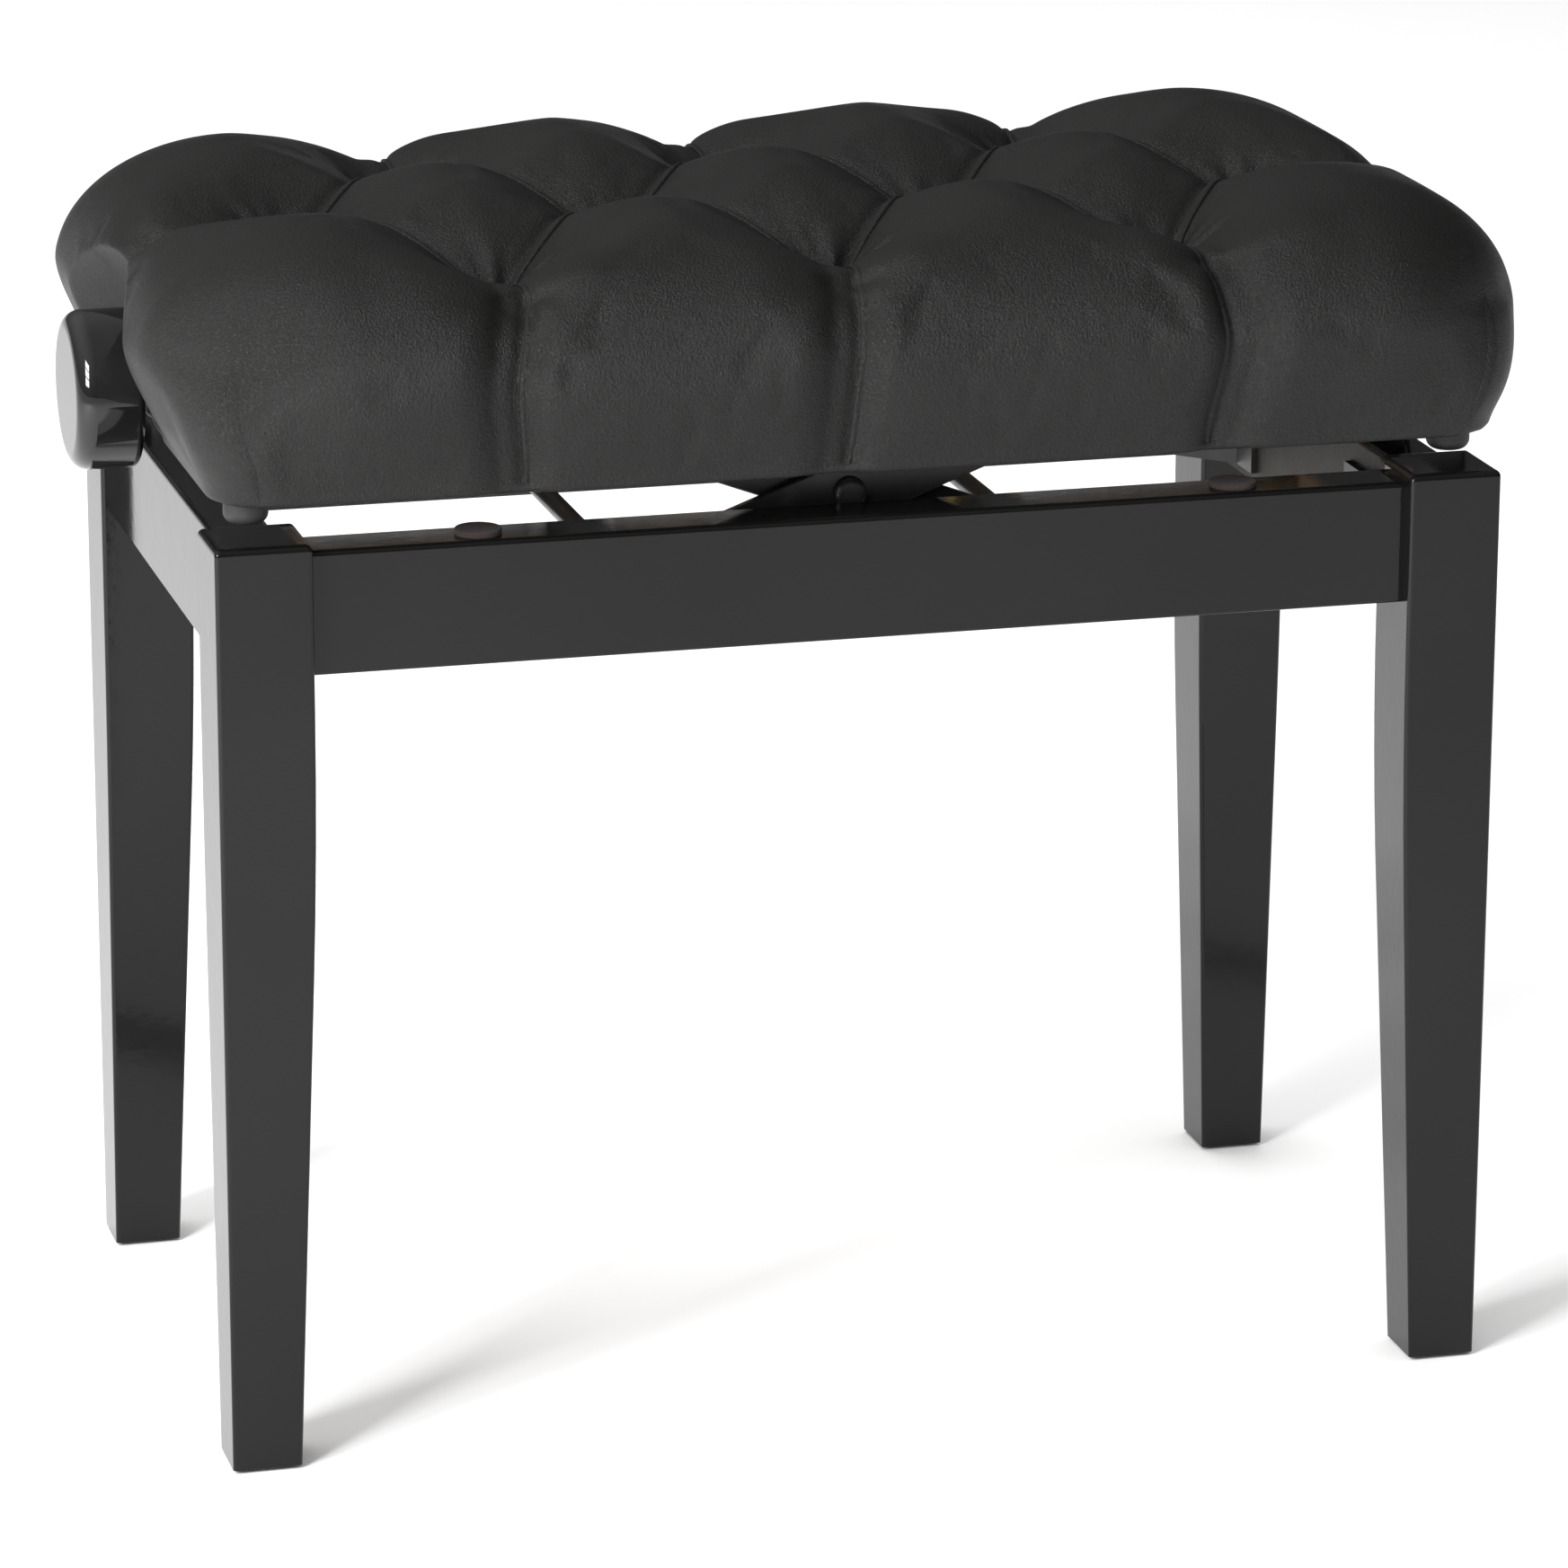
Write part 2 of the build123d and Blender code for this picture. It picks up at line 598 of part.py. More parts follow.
def knob(sign):
    """A turned disc with a flat outer face and a large round edge, on the spindle's end."""
    disc = along_x(KNOB_R, (KNOB_IN_X, KNOB_OUT_X))
    disc = fillet(disc.edges().group_by(Axis.X)[-1], KNOB_FACE_R)
    disc = fillet(disc.edges().group_by(Axis.X)[0], KNOB_BACK_R)
    disc -= along_x(SPINDLE_R, (KNOB_IN_X - PAST, SPINDLE_HALF_LENGTH))
    disc -= along_z(KNOB_SCREW_R, (HIGH_Z - KNOB_R - PAST, HIGH_Z), KNOB_SCREW_X, 0)
    return disc if sign > 0 else disc.mirror(Plane.YZ)


def knob_screw(sign):
    """A grub screw in the knob's edge that bears on the spindle."""
    top = HIGH_Z - SPINDLE_R
    return along_z(KNOB_SCREW_R, (top - KNOB_SCREW_LENGTH, top), sign * KNOB_SCREW_X, 0)


write("knob_left", knob(-1))
write("knob_right", knob(1))
write("knob_screws", *[knob_screw(s) for s in SIDES])


# ---------------------------------------------------------------- seat frame

rail_z = (SEAT_BOTTOM_Z, SEAT_RAIL_TOP_Z)
for sign, name in FRONT_BACK:
    side_y = span(sign, SEAT_RAIL_IN_Y, SEAT_FRAME_Y)
    write(f"seat_rail_{name}", block((-SEAT_FRAME_X, SEAT_FRAME_X), side_y, rail_z))
for sign, name in LEFT_RIGHT:
    side_x = span(sign, SEAT_RAIL_IN_X, SEAT_FRAME_X)
    side = block(side_x, (-SEAT_RAIL_IN_Y, SEAT_RAIL_IN_Y), rail_z)
    write(f"seat_rail_{name}", side - along_x(BUSH_R, side_x))


def spindle_bush(sign):
    """A flanged bush through a side rail, where the spindle leaves the frame."""
    sleeve = along_x(BUSH_R, span(sign, SEAT_RAIL_IN_X, SEAT_FRAME_X))
    flange = along_x(BUSH_FLANGE_R, span(sign, SEAT_FRAME_X, SEAT_FRAME_X + BUSH_FLANGE_T))
    return sleeve + flange - along_x(SPINDLE_R + RUN_CLEAR, span(sign, SEAT_RAIL_IN_X - PAST, BORDER_X))


write("spindle_bushes", *[spindle_bush(s) for s in SIDES])


def hanger_screw(sign, side):
    """A pan-head screw up through a hanger's flange into the seat board."""
    x = -HALF_SPAN + side * (HANGER_HALF_WIDTH - HANGER_SCREW_INSET)
    y = sign * (ARM_A_Y - HANGER_FLANGE / 2)
    under = SEAT_RAIL_TOP_Z - HANGER_T
    shank = along_z(WOOD_SCREW_R, (under, SEAT_RAIL_TOP_Z + HANGER_SCREW_DEPTH), x, y)
    return shank + along_z(SMALL_HEAD_R, (under - SMALL_HEAD_T, under), x, y)


hanger_screws = [hanger_screw(s, side) for s in SIDES for side in SIDES]


def hanger(sign):
    """An angle that hangs one end of the fixed bar from the seat board."""
    x = (-HALF_SPAN - HANGER_HALF_WIDTH, -HALF_SPAN + HANGER_HALF_WIDTH)
    plate = block(x, span(sign, ARM_A_Y, HANGER_OUT_Y), (HANGER_BOTTOM_Z, SEAT_RAIL_TOP_Z))
    flange_z = (SEAT_RAIL_TOP_Z - HANGER_T, SEAT_RAIL_TOP_Z)
    angle = plate + block(x, span(sign, ARM_A_Y - HANGER_FLANGE, HANGER_OUT_Y), flange_z)
    angle -= along_y(BAR_PIN_R, span(sign, ARM_A_Y - PAST, HANGER_OUT_Y + PAST), -HALF_SPAN, HIGH_Z)
    for screw in hanger_screws:
        angle -= screw
    return angle


board_z = (SEAT_RAIL_TOP_Z, BOARD_TOP_Z)
frame_plan = ((-SEAT_FRAME_X, SEAT_FRAME_X), (-SEAT_FRAME_Y, SEAT_FRAME_Y))
board = block(*frame_plan, board_z)
for screw in hanger_screws:
    board -= screw
write("seat_board", board)
write("bar_hangers", *[hanger(s) for s in SIDES])
write("hanger_screws", *hanger_screws)


# ---------------------------------------------------------------- upholstery

def rounded_slab(half_x, half_y, corner_r, z):
    outline = RectangleRounded(2 * half_x, 2 * half_y, corner_r)
    return extrude(Pos(0, 0, z[0]) * outline, amount=z[1] - z[0])


knob_room = [along_x(KNOB_R + KNOB_ROOM, span(s, BORDER_X, CUSHION_X + PAST)) for s in SIDES]
cushion = rounded_slab(CUSHION_X, CUSHION_Y, CUSHION_CORNER_R, (BOARD_TOP_Z, CUSHION_TOP_Z))
cushion = fillet(cushion.edges().group_by(Axis.Z)[-1], CUSHION_TOP_R)
cushion = fillet(cushion.edges().group_by(Axis.Z)[0], CUSHION_UNDER_R)
for room in knob_room:
    cushion -= room
write("seat_cushion", cushion)

ring = rounded_slab(BORDER_X, BORDER_Y, BORDER_CORNER_R, (SEAT_BOTTOM_Z, BOARD_TOP_Z))
ring -= block(*frame_plan, (SEAT_BOTTOM_Z, BOARD_TOP_Z))
ring -= along_x(BUSH_FLANGE_R + BUSH_ROOM, (-BORDER_X, BORDER_X))
whole = (SEAT_BOTTOM_Z - PAST, BOARD_TOP_Z + PAST)
border = []
for sign in SIDES:
    border.append(ring & block((-BORDER_X, BORDER_X), span(sign, SEAT_FRAME_Y, BORDER_Y), whole))
    border.append(ring & block(span(sign, SEAT_FRAME_X, BORDER_X), (-SEAT_FRAME_Y, SEAT_FRAME_Y), whole))
write("seat_border", *border)

lining_x = SEAT_FRAME_X + LINING_OUT
lining_y = SEAT_FRAME_Y + LINING_OUT
lining_in_x = SEAT_RAIL_IN_X - LINING_OVERHANG
lining_z = (LINING_Z, SEAT_BOTTOM_Z)
lining = []
for sign in SIDES:
    lining.append(block((-lining_x, lining_x), span(sign, SEAT_RAIL_IN_Y, lining_y), lining_z))
    lining.append(block(span(sign, lining_in_x, lining_x), (-SEAT_RAIL_IN_Y, SEAT_RAIL_IN_Y), lining_z))
write("seat_lining", *lining)


def staple_row(half_length):
    """Places along one edge of the lining, evenly spaced about its middle."""
    count = int(2 * half_length / STAPLE_PITCH)
    return [(i - count / 2) * STAPLE_PITCH for i in range(count + 1)]


staple_z = LINING_Z - STAPLE_SIZE[2] / 2
staples = []
for sign in SIDES:
    for x in staple_row(BUMPER_X - STAPLE_END_ROOM):
        staples.append(Pos(x, sign * (SEAT_FRAME_Y - STAPLE_INSET), staple_z) * Box(*STAPLE_SIZE))
    for y in staple_row(BUMPER_Y - STAPLE_END_ROOM):
        place = Pos(sign * (SEAT_FRAME_X - STAPLE_INSET), y, staple_z) * Rot(0, 0, 90)
        staples.append(place * Box(*STAPLE_SIZE))
write("lining_staples", *staples)


def bumper_screw(sx, sy):
    """The screw up through a bumper, with its head in the bumper's well."""
    head_z = BUMPER_BOTTOM_Z + BUMPER_WELL
    head = along_z(SMALL_HEAD_R, (head_z - SMALL_HEAD_T, head_z), sx * BUMPER_X, sy * BUMPER_Y)
    return head + along_z(WOOD_SCREW_R, (head_z, LINING_Z), sx * BUMPER_X, sy * BUMPER_Y)


def bumper(sx, sy):
    """A rubber stop that lands on a leg's top when the seat is right down."""
    body = along_z(BUMPER_R, (BUMPER_BOTTOM_Z, LINING_Z), sx * BUMPER_X, sy * BUMPER_Y)
    body = fillet(body.edges().group_by(Axis.Z)[0], BUMPER_EDGE_R)
    well = (BUMPER_BOTTOM_Z, BUMPER_BOTTOM_Z + BUMPER_WELL)
    body -= along_z(SMALL_HEAD_R, well, sx * BUMPER_X, sy * BUMPER_Y)
    return body - bumper_screw(sx, sy)


write("seat_bumpers", *[bumper(sx, sy) for sx, sy in CORNERS])
write("bumper_screws", *[bumper_screw(sx, sy) for sx, sy in CORNERS])
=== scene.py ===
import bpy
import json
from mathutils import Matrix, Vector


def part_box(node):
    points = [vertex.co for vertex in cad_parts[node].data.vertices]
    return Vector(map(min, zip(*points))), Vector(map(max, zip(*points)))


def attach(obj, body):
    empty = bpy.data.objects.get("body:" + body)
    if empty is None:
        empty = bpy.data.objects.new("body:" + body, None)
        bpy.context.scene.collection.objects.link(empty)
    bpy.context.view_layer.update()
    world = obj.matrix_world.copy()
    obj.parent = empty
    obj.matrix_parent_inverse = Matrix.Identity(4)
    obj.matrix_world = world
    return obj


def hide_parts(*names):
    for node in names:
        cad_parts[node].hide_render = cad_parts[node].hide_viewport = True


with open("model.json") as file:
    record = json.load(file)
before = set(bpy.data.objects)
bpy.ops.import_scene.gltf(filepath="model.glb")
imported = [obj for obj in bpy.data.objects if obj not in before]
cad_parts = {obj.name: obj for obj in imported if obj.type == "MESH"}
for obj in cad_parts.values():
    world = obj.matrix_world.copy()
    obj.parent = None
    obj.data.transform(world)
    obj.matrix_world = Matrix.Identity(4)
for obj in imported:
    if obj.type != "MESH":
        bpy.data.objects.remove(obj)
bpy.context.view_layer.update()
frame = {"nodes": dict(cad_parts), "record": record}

import json
from math import cos, pi, radians, sin

import bmesh
import bpy
import numpy as np
from mathutils import Matrix, Vector
from mathutils.kdtree import KDTree

# A piano bench. Metres, +Z up, +X along the bench, the player's side is -Y.

NODES = frame["nodes"]
SLOT_OF = {part["node"]: part["material_slot"] for part in frame["record"]["subparts"]}
MM = 0.001
TINY = 1e-6
GUARD = 1e-9                    # keeps a division by a length of nothing from failing


# ---------------------------------------------------------------- places taken from the frame

CUSHION_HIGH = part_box("seat_cushion")[1]
BORDER_LOW, BORDER_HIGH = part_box("seat_border")
BOARD_TOP_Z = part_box("seat_board")[1][2]
SPINDLE_LOW, SPINDLE_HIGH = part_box("spindle")
SPINDLE_Z = (SPINDLE_LOW[2] + SPINDLE_HIGH[2]) / 2
KNOB_LOW, KNOB_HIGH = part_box("knob_right")
KNOB_R = (KNOB_HIGH[2] - KNOB_LOW[2]) / 2

# The box that the aprons' inner faces enclose, with a small margin that takes the faces in.
FACE_MARGIN = 0.0002
APRON_IN_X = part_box("apron_right")[0][0] + FACE_MARGIN
APRON_IN_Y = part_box("apron_back")[0][1] + FACE_MARGIN
APRON_LOW_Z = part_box("apron_back")[0][2] - FACE_MARGIN


# ---------------------------------------------------------------- sizes of the tufted seat

# The plain block under the tufting, and its foot, which draws in to the frame.
HALF_X = CUSHION_HIGH[0] - 0.0005
HALF_Y = CUSHION_HIGH[1] - 0.0040
TOP_Z = CUSHION_HIGH[2] - 0.0010
BOTTOM_Z = BORDER_LOW[2] - 0.0004
DROP = TOP_Z - BOTTOM_Z
BELLY_Z = BOTTOM_Z + 0.52 * DROP
LOW_X = BORDER_HIGH[0] - 0.0025
LOW_Y = BORDER_HIGH[1] - 0.0010
LOW_CORNER_R = 0.028
EDGE_REACH = 0.074              # how far in from the sides the top begins to round off
EDGE_DROP = 0.050               # how far down the sides the rounding ends
CORNER_Z = (BOTTOM_Z + 0.010, BELLY_Z + 0.008)      # the upright corners turn from tight to soft
DRAW_Z = (BOTTOM_Z - 0.006, BELLY_Z)                # the sides draw in below the belly
CELL = 0.0026                   # spacing of the grid, before it is subdivided once

# The leather turned in under the frame, ring by ring: inset from the rim, and rise from the foot.
TURN_IN = [(0.0015, -0.0012), (0.0075, -0.0012), (0.0115, 0.0012),
           (0.0120, BOARD_TOP_Z - BOTTOM_Z + 0.0006)]
RING_STEP = 0.010               # numbers those rings, as steps down in the box coordinates

# Three tufts in each long row, and four between them in the middle row.
TUFT_X = 0.131
TUFT_Y = 0.085
LONG_TUFTS = [(x, y) for y in (-TUFT_Y, TUFT_Y) for x in (-TUFT_X, 0.0, TUFT_X)]
MIDDLE_TUFTS = [(n * TUFT_X / 2, 0.0) for n in (-3, -1, 1, 3)]
END_TUFTS = [MIDDLE_TUFTS[0], MIDDLE_TUFTS[-1]]
TUFTS = LONG_TUFTS + MIDDLE_TUFTS

# Where the pleat of each long-row tuft crosses the seat's edge, and where it ends below.
PLEAT_X = {-TUFT_X: (-0.131, -0.146), 0.0: (-0.004, -0.012), TUFT_X: (0.134, 0.142)}
PAST_EDGE = 0.004
# The tuck at each corner: inset from the seat's end, and how far down the long face.
CORNER_TUCK = [(0.012, 0.036), (0.017, DROP - 0.002)]

# Valleys: depths on the top, at the edge and at the foot, and how far each reaches sideways.
VALLEY = 0.0090
EDGE_VALLEY = 0.0085
FACE_VALLEY = 0.0040
PILLOW_REACH = 0.042
FACE_REACH = 0.020
VALLEY_CURVE = 2
# An edge pleat lies flat in a strip on one side, and is steeper on the other.
STRIP = 0.00935
STRIP_SLOPE = 0.12
STRIP_SIDE = 0.90
STEEP_SIDE = 0.65
# The pit at each tuft.
PIT = 0.036
PIT_REACH = 0.072
PIT_CURVE = 1.7
SOFT_JOIN = 3                   # the higher, the sharper two hollows meet

# The fine shape: a groove along each valley, and gathers round each tuft.
GROOVE = 0.0012
GROOVE_REACH = 0.003
GATHER = 0.0013
GATHER_START = (0.004, 0.012)
GATHER_REACH = 0.020
FOOT_BAND = 0.004               # at the foot the fine shape fades out over this height

# The hollow behind each knob: its depth, and the ring round the knob over which it ends.
KNOB_CLEAR = 0.0005
KNOB_HOLLOW = 0.022
KNOB_RING = (KNOB_R + 0.003, KNOB_R + 0.045)

# The cloth simulation, and what it holds: the foot, the valleys and the tufts.
CLOTH_STEPS = 12
MOST_SWELL = 0.003
CLOTH = {
    "quality": 4,
    "mass": 0.25,
    "tension_stiffness": 18,
    "compression_stiffness": 12,
    "shear_stiffness": 8,
    "bending_stiffness": 0.6,
    "use_pressure": True,
    "uniform_pressure_force": 1.5,
    "shrink_min": -0.003,
    "vertex_group_mass": "held",
}
HELD_FOOT = 0.006
HELD_VALLEY = 0.006
HELD_TUFT = 0.012
VALLEY_GRIP = 0.9

# A pleat's section: across the pleat and up from the leather, in millimetres. It is a closed
# loop whose lowest points lie under the surface.
DOUBLE_FOLD = [(-2.2, -0.9), (-2.1, 0.9), (-1.6, 1.5), (-0.5, 1.0), (0.5, 1.0), (1.5, 1.5),
               (2.0, 0.9), (2.1, -0.9)]
SINGLE_FOLD = [(-0.4, -0.9), (-0.4, 0.6), (0.0, 1.1), (0.9, 0.95), (2.2, 0.45), (4.0, -0.1),
               (5.0, -0.9)]
PLEAT_STEP = 0.0022
BOW = 0.0035                    # how far a diagonal pleat bows sideways
NEAREST = 9                     # points of the leather that each step of a pleat rests on
NEAR_BY = 0.0015
TAPER = (0.25, 0.15)            # a pleat's size at its ends, and its growth at each step
SINK = 0.4                      # how far its ends sink, in millimetres


# ---------------------------------------------------------------- light and camera

FLOOR_REACH = 40.0
STUDIO = 0.61
# How bright the studio is in reflections along each axis: from, to, and the values there.
SKY = {"Z": (0.0, 0.95, 0.04, 0.25), "X": (-1.0, 1.0, 3.8, 0.05)}

SUNS = [("sun_left", -75, 50, 0.50), ("sun_right", 130, 66, 0.30)]
SUN_DISTANCE = 5
SUN_SPREAD = 70
GLOW_PLACE = (-0.3, 1.2, 2.7)
GLOW_AIM = (-0.2, 0.9, 0)
GLOW_POWER = 30
GLOW_SIZE = 2.2
WINDOW_AZIMUTH = -50
WINDOW_ELEVATION = 27
WINDOW_DISTANCE = 2.3
WINDOW_AIM = (-0.2, 0, 0.4)
PANE_PITCH = 0.44
PANE_SHARE = 0.84               # the rest of the pitch is the window's bars
PANE_POWER = 14

CAMERA_PLACE = (-0.6962, -2.587, 1.0029)
CAMERA_AZIMUTH = -15.15
CAMERA_ELEVATION = 16.357
CAMERA_ROLL = 0.177
CAMERA_LENS = 159.06
SENSOR_WIDTH = 36.0
FAR_CLIP = 100.0


# ---------------------------------------------------------------- node helpers

class Shader:
    """A material's node tree, with short calls to add and join nodes."""

    def __init__(self, name):
        self.material = bpy.data.materials.new(name)
        self.material.use_nodes = True
        self.tree = self.material.node_tree
        self.surface = self.tree.nodes["Principled BSDF"]
        self.place = self.add("ShaderNodeTexCoord").outputs["Object"]

    def add(self, kind, **values):
        node = self.tree.nodes.new(kind)
        for name, value in values.items():
            if name in node.inputs:
                node.inputs[name].default_value = value
            else:
                setattr(node, name, value)
        return node

    def join(self, source, target):
        self.tree.links.new(source, target)

    def stretched(self, scale, turn=(0.0, 0.0, 0.0)):
        """The object's own coordinates, turned and scaled along each axis."""
        mapping = self.add("ShaderNodeMapping")
        mapping.inputs["Scale"].default_value = scale
        mapping.inputs["Rotation"].default_value = turn
        self.join(self.place, mapping.inputs["Vector"])
        return mapping.outputs["Vector"]

    def noise(self, scale, detail=3.0, roughness=0.5, vector=None, distortion=0.0):
        node = self.add("ShaderNodeTexNoise", Scale=scale, Detail=detail, Roughness=roughness)
        node.inputs["Distortion"].default_value = distortion
        self.join(vector or self.place, node.inputs["Vector"])
        return node.outputs["Fac"]

    def cells(self, scale, feature="F1"):
        node = self.add("ShaderNodeTexVoronoi", Scale=scale, feature=feature)
        self.join(self.place, node.inputs["Vector"])
        return node.outputs["Distance"]

    def span(self, source, low, high, start=0.0, end=1.0):
        """source from start..end mapped onto low..high."""
        node = self.add("ShaderNodeMapRange")
        node.inputs["From Min"].default_value = start
        node.inputs["From Max"].default_value = end
        node.inputs["To Min"].default_value = low
        node.inputs["To Max"].default_value = high
        self.join(source, node.inputs["Value"])
        return node.outputs["Result"]

    def ramp(self, source, stops):
        """A colour ramp with (place, colour) stops."""
        node = self.add("ShaderNodeValToRGB")
        elements = node.color_ramp.elements
        while len(elements) < len(stops):
            elements.new(0.5)
        for element, (at, colour) in zip(elements, stops):
            element.position = at
            element.color = (*colour, 1.0)
        self.join(source, node.inputs["Fac"])
        return node.outputs["Color"]

    def math(self, operation, first, second):
        node = self.add("ShaderNodeMath", operation=operation)
        for socket, value in zip(node.inputs, (first, second)):
            if isinstance(value, (int, float)):
                socket.default_value = value
            else:
                self.join(value, socket)
        return node.outputs["Value"]

    def blend(self, amount, first, second):
        """One colour turning into another."""
        node = self.add("ShaderNodeMix", data_type="RGBA")
        colours = [socket for socket in node.inputs if socket.type == "RGBA"]
        self.join(amount, node.inputs[0])
        self.join(first, colours[0])
        self.join(second, colours[1])
        return next(socket for socket in node.outputs if socket.type == "RGBA")

    def inside(self, half_sizes, low_z):
        """1 inside an upright box about the middle of the bench, above low_z."""
        split = self.add("ShaderNodeSeparateXYZ")
        self.join(self.place, split.inputs["Vector"])
        result = self.math("GREATER_THAN", split.outputs["Z"], low_z)
        for axis, half in zip("XY", half_sizes):
            distance = self.math("ABSOLUTE", split.outputs[axis], 0.0)
            result = self.math("MULTIPLY", result, self.math("LESS_THAN", distance, half))
        return result

    def bump(self, height, strength, distance, below=None):
        node = self.add("ShaderNodeBump")
        node.inputs["Strength"].default_value = strength
        node.inputs["Distance"].default_value = distance
        self.join(height, node.inputs["Height"])
        if below is not None:
            self.join(below, node.inputs["Normal"])
        return node.outputs["Normal"]

    def set(self, **values):
        """Constants on the surface shader, with underscores for spaces."""
        for name, value in values.items():
            self.surface.inputs[name.replace("_", " ")].default_value = value

    def drive(self, name, source):
        self.join(source, self.surface.inputs[name])


def grey(value, warmth=0.0):
    return (value * (1 + warmth), value, value * (1 - warmth))


# ---------------------------------------------------------------- materials

def lacquer():
    """Black polyester lacquer: a deep gloss with a faint orange peel. The aprons' inner faces
    are only sprayed, so there it is brownish, rough and grainy."""
    m = Shader("black_lacquer")
    inner = m.inside((APRON_IN_X, APRON_IN_Y), APRON_LOW_Z)
    cloud = m.noise(9.0, 4.0)
    gloss = m.ramp(cloud, [(0.3, grey(0.0035, 0.06)), (0.7, grey(0.0055, 0.04))])
    spray = m.noise(420.0, 4.0, 0.6, m.stretched((1.0, 1.0, 2.2)))
    dull = m.ramp(spray, [(0.35, (0.008, 0.006, 0.005)), (0.7, (0.028, 0.022, 0.017))])
    m.drive("Base Color", m.blend(inner, gloss, dull))
    polished = m.span(m.noise(60.0, 5.0), 0.075, 0.12, 0.3, 0.7)
    m.drive("Roughness", m.math("ADD", polished, m.math("MULTIPLY", inner, 0.45)))
    grain = m.math("MULTIPLY", m.math("MULTIPLY", inner, spray), 6.0)
    peel = m.bump(m.math("ADD", m.noise(260.0, 2.0), grain), 0.10, 0.0004)
    m.drive("Normal", m.bump(m.noise(38.0, 1.0), 0.06, 0.0010, peel))
    m.set(IOR=1.36)
    return m.material


def knob_gloss():
    m = Shader("knob_gloss")
    cloud = m.noise(30.0, 3.0)
    m.drive("Base Color", m.ramp(cloud, [(0.3, grey(0.006)), (0.7, grey(0.010))]))
    m.drive("Roughness", m.span(m.noise(180.0, 4.0), 0.03, 0.06, 0.3, 0.7))
    m.drive("Normal", m.bump(m.noise(90.0, 1.0), 0.03, 0.0006))
    m.set(IOR=1.5)
    return m.material


def leather():
    """Black leather: pebbled grain, finer creasing on the sides, and a soft satin sheen."""
    m = Shader("black_leather")
    tone = m.noise(14.0, 5.0, 0.6)
    m.drive("Base Color", m.ramp(tone, [(0.25, grey(0.0045, 0.10)), (0.75, grey(0.0075, 0.08))]))
    pebble = m.cells(950.0)
    pores = m.cells(2300.0, feature="DISTANCE_TO_EDGE")
    drawn = m.noise(900.0, 3.0, 0.6, m.stretched((1.0, 1.0, 0.35), (0.0, radians(38), 0.0)))
    grain = m.math("ADD", m.math("MULTIPLY", pebble, 0.7), m.math("MULTIPLY", drawn, 0.9))
    fine = m.bump(m.math("ADD", grain, pores), 0.75, 0.00045)
    creasing = m.noise(150.0, 5.0, 0.62, m.stretched((1.0, 1.0, 0.5)), 0.4)
    m.drive("Normal", m.bump(creasing, 0.10, 0.0012, fine))
    worn = m.math("ADD", m.noise(40.0, 4.0), m.math("MULTIPLY", pebble, 0.3))
    m.drive("Roughness", m.span(worn, 0.37, 0.50, 0.3, 1.0))
    m.set(IOR=1.40)
    return m.material


def wood(name, light, dark, ring_scale, axis_scale):
    m = Shader(name)
    along = m.stretched(axis_scale)
    wave = m.add("ShaderNodeTexWave", Scale=ring_scale, Distortion=5.0, Detail=3.0)
    m.join(along, wave.inputs["Vector"])
    fibre = m.noise(520.0, 4.0, 0.6, along)
    mix = m.math("ADD", m.math("MULTIPLY", wave.outputs["Fac"], 0.7), m.math("MULTIPLY", fibre, 0.3))
    m.drive("Base Color", m.ramp(mix, [(0.2, light), (0.8, dark)]))
    m.drive("Roughness", m.span(fibre, 0.5, 0.72))
    m.drive("Normal", m.bump(fibre, 0.25, 0.0004))
    return m.material


def frame_wood():
    return wood("pine_and_plywood", (0.56, 0.41, 0.25), (0.38, 0.25, 0.13), 26.0, (0.12, 1.0, 1.0))


def black_steel():
    """Stove-enamelled steel with a slight texture and brighter rubbed spots."""
    m = Shader("black_enamelled_steel")
    wear = m.noise(55.0, 6.0, 0.65)
    m.drive("Base Color", m.ramp(wear, [(0.55, grey(0.012)), (0.8, grey(0.035))]))
    m.drive("Roughness", m.span(wear, 0.30, 0.46, 0.3, 0.8))
    m.drive("Normal", m.bump(m.noise(900.0, 3.0), 0.18, 0.0003))
    m.set(IOR=1.5)
    return m.material


def plain_metal(name, light, dark, low, high, scale=(1.0, 1.0, 1.0)):
    m = Shader(name)
    streak = m.noise(400.0, 4.0, 0.6, m.stretched(scale))
    m.drive("Base Color", m.ramp(streak, [(0.3, light), (0.7, dark)]))
    m.drive("Roughness", m.span(streak, low, high))
    m.drive("Normal", m.bump(streak, 0.12, 0.0002))
    m.set(Metallic=1.0)
    return m.material


def zinc():
    return plain_metal("zinc_plated_steel", grey(0.60), (0.50, 0.50, 0.46), 0.28, 0.45)


def ground_steel():
    return plain_metal("ground_steel", grey(0.42), grey(0.30), 0.20, 0.34, (0.2, 4.0, 4.0))


def brass():
    return plain_metal("turned_brass", (0.72, 0.52, 0.22), (0.60, 0.41, 0.15), 0.22, 0.36, (6.0, 1.0, 1.0))


def rubber():
    m = Shader("black_rubber")
    bloom = m.noise(260.0, 4.0)
    m.drive("Base Color", m.ramp(bloom, [(0.3, grey(0.016)), (0.7, grey(0.03))]))
    m.drive("Roughness", m.span(bloom, 0.5, 0.68))
    m.drive("Normal", m.bump(m.noise(1500.0, 2.0), 0.15, 0.0003))
    return m.material


def felt():
    m = Shader("brown_felt")
    fibre = m.noise(1500.0, 6.0, 0.75, None, 1.2)
    m.drive("Base Color", m.ramp(fibre, [(0.3, (0.014, 0.009, 0.009)), (0.75, (0.055, 0.037, 0.034))]))
    m.drive("Normal", m.bump(fibre, 0.8, 0.0008))
    m.set(Roughness=0.95, Sheen_Weight=0.08, Sheen_Roughness=0.6)
    return m.material


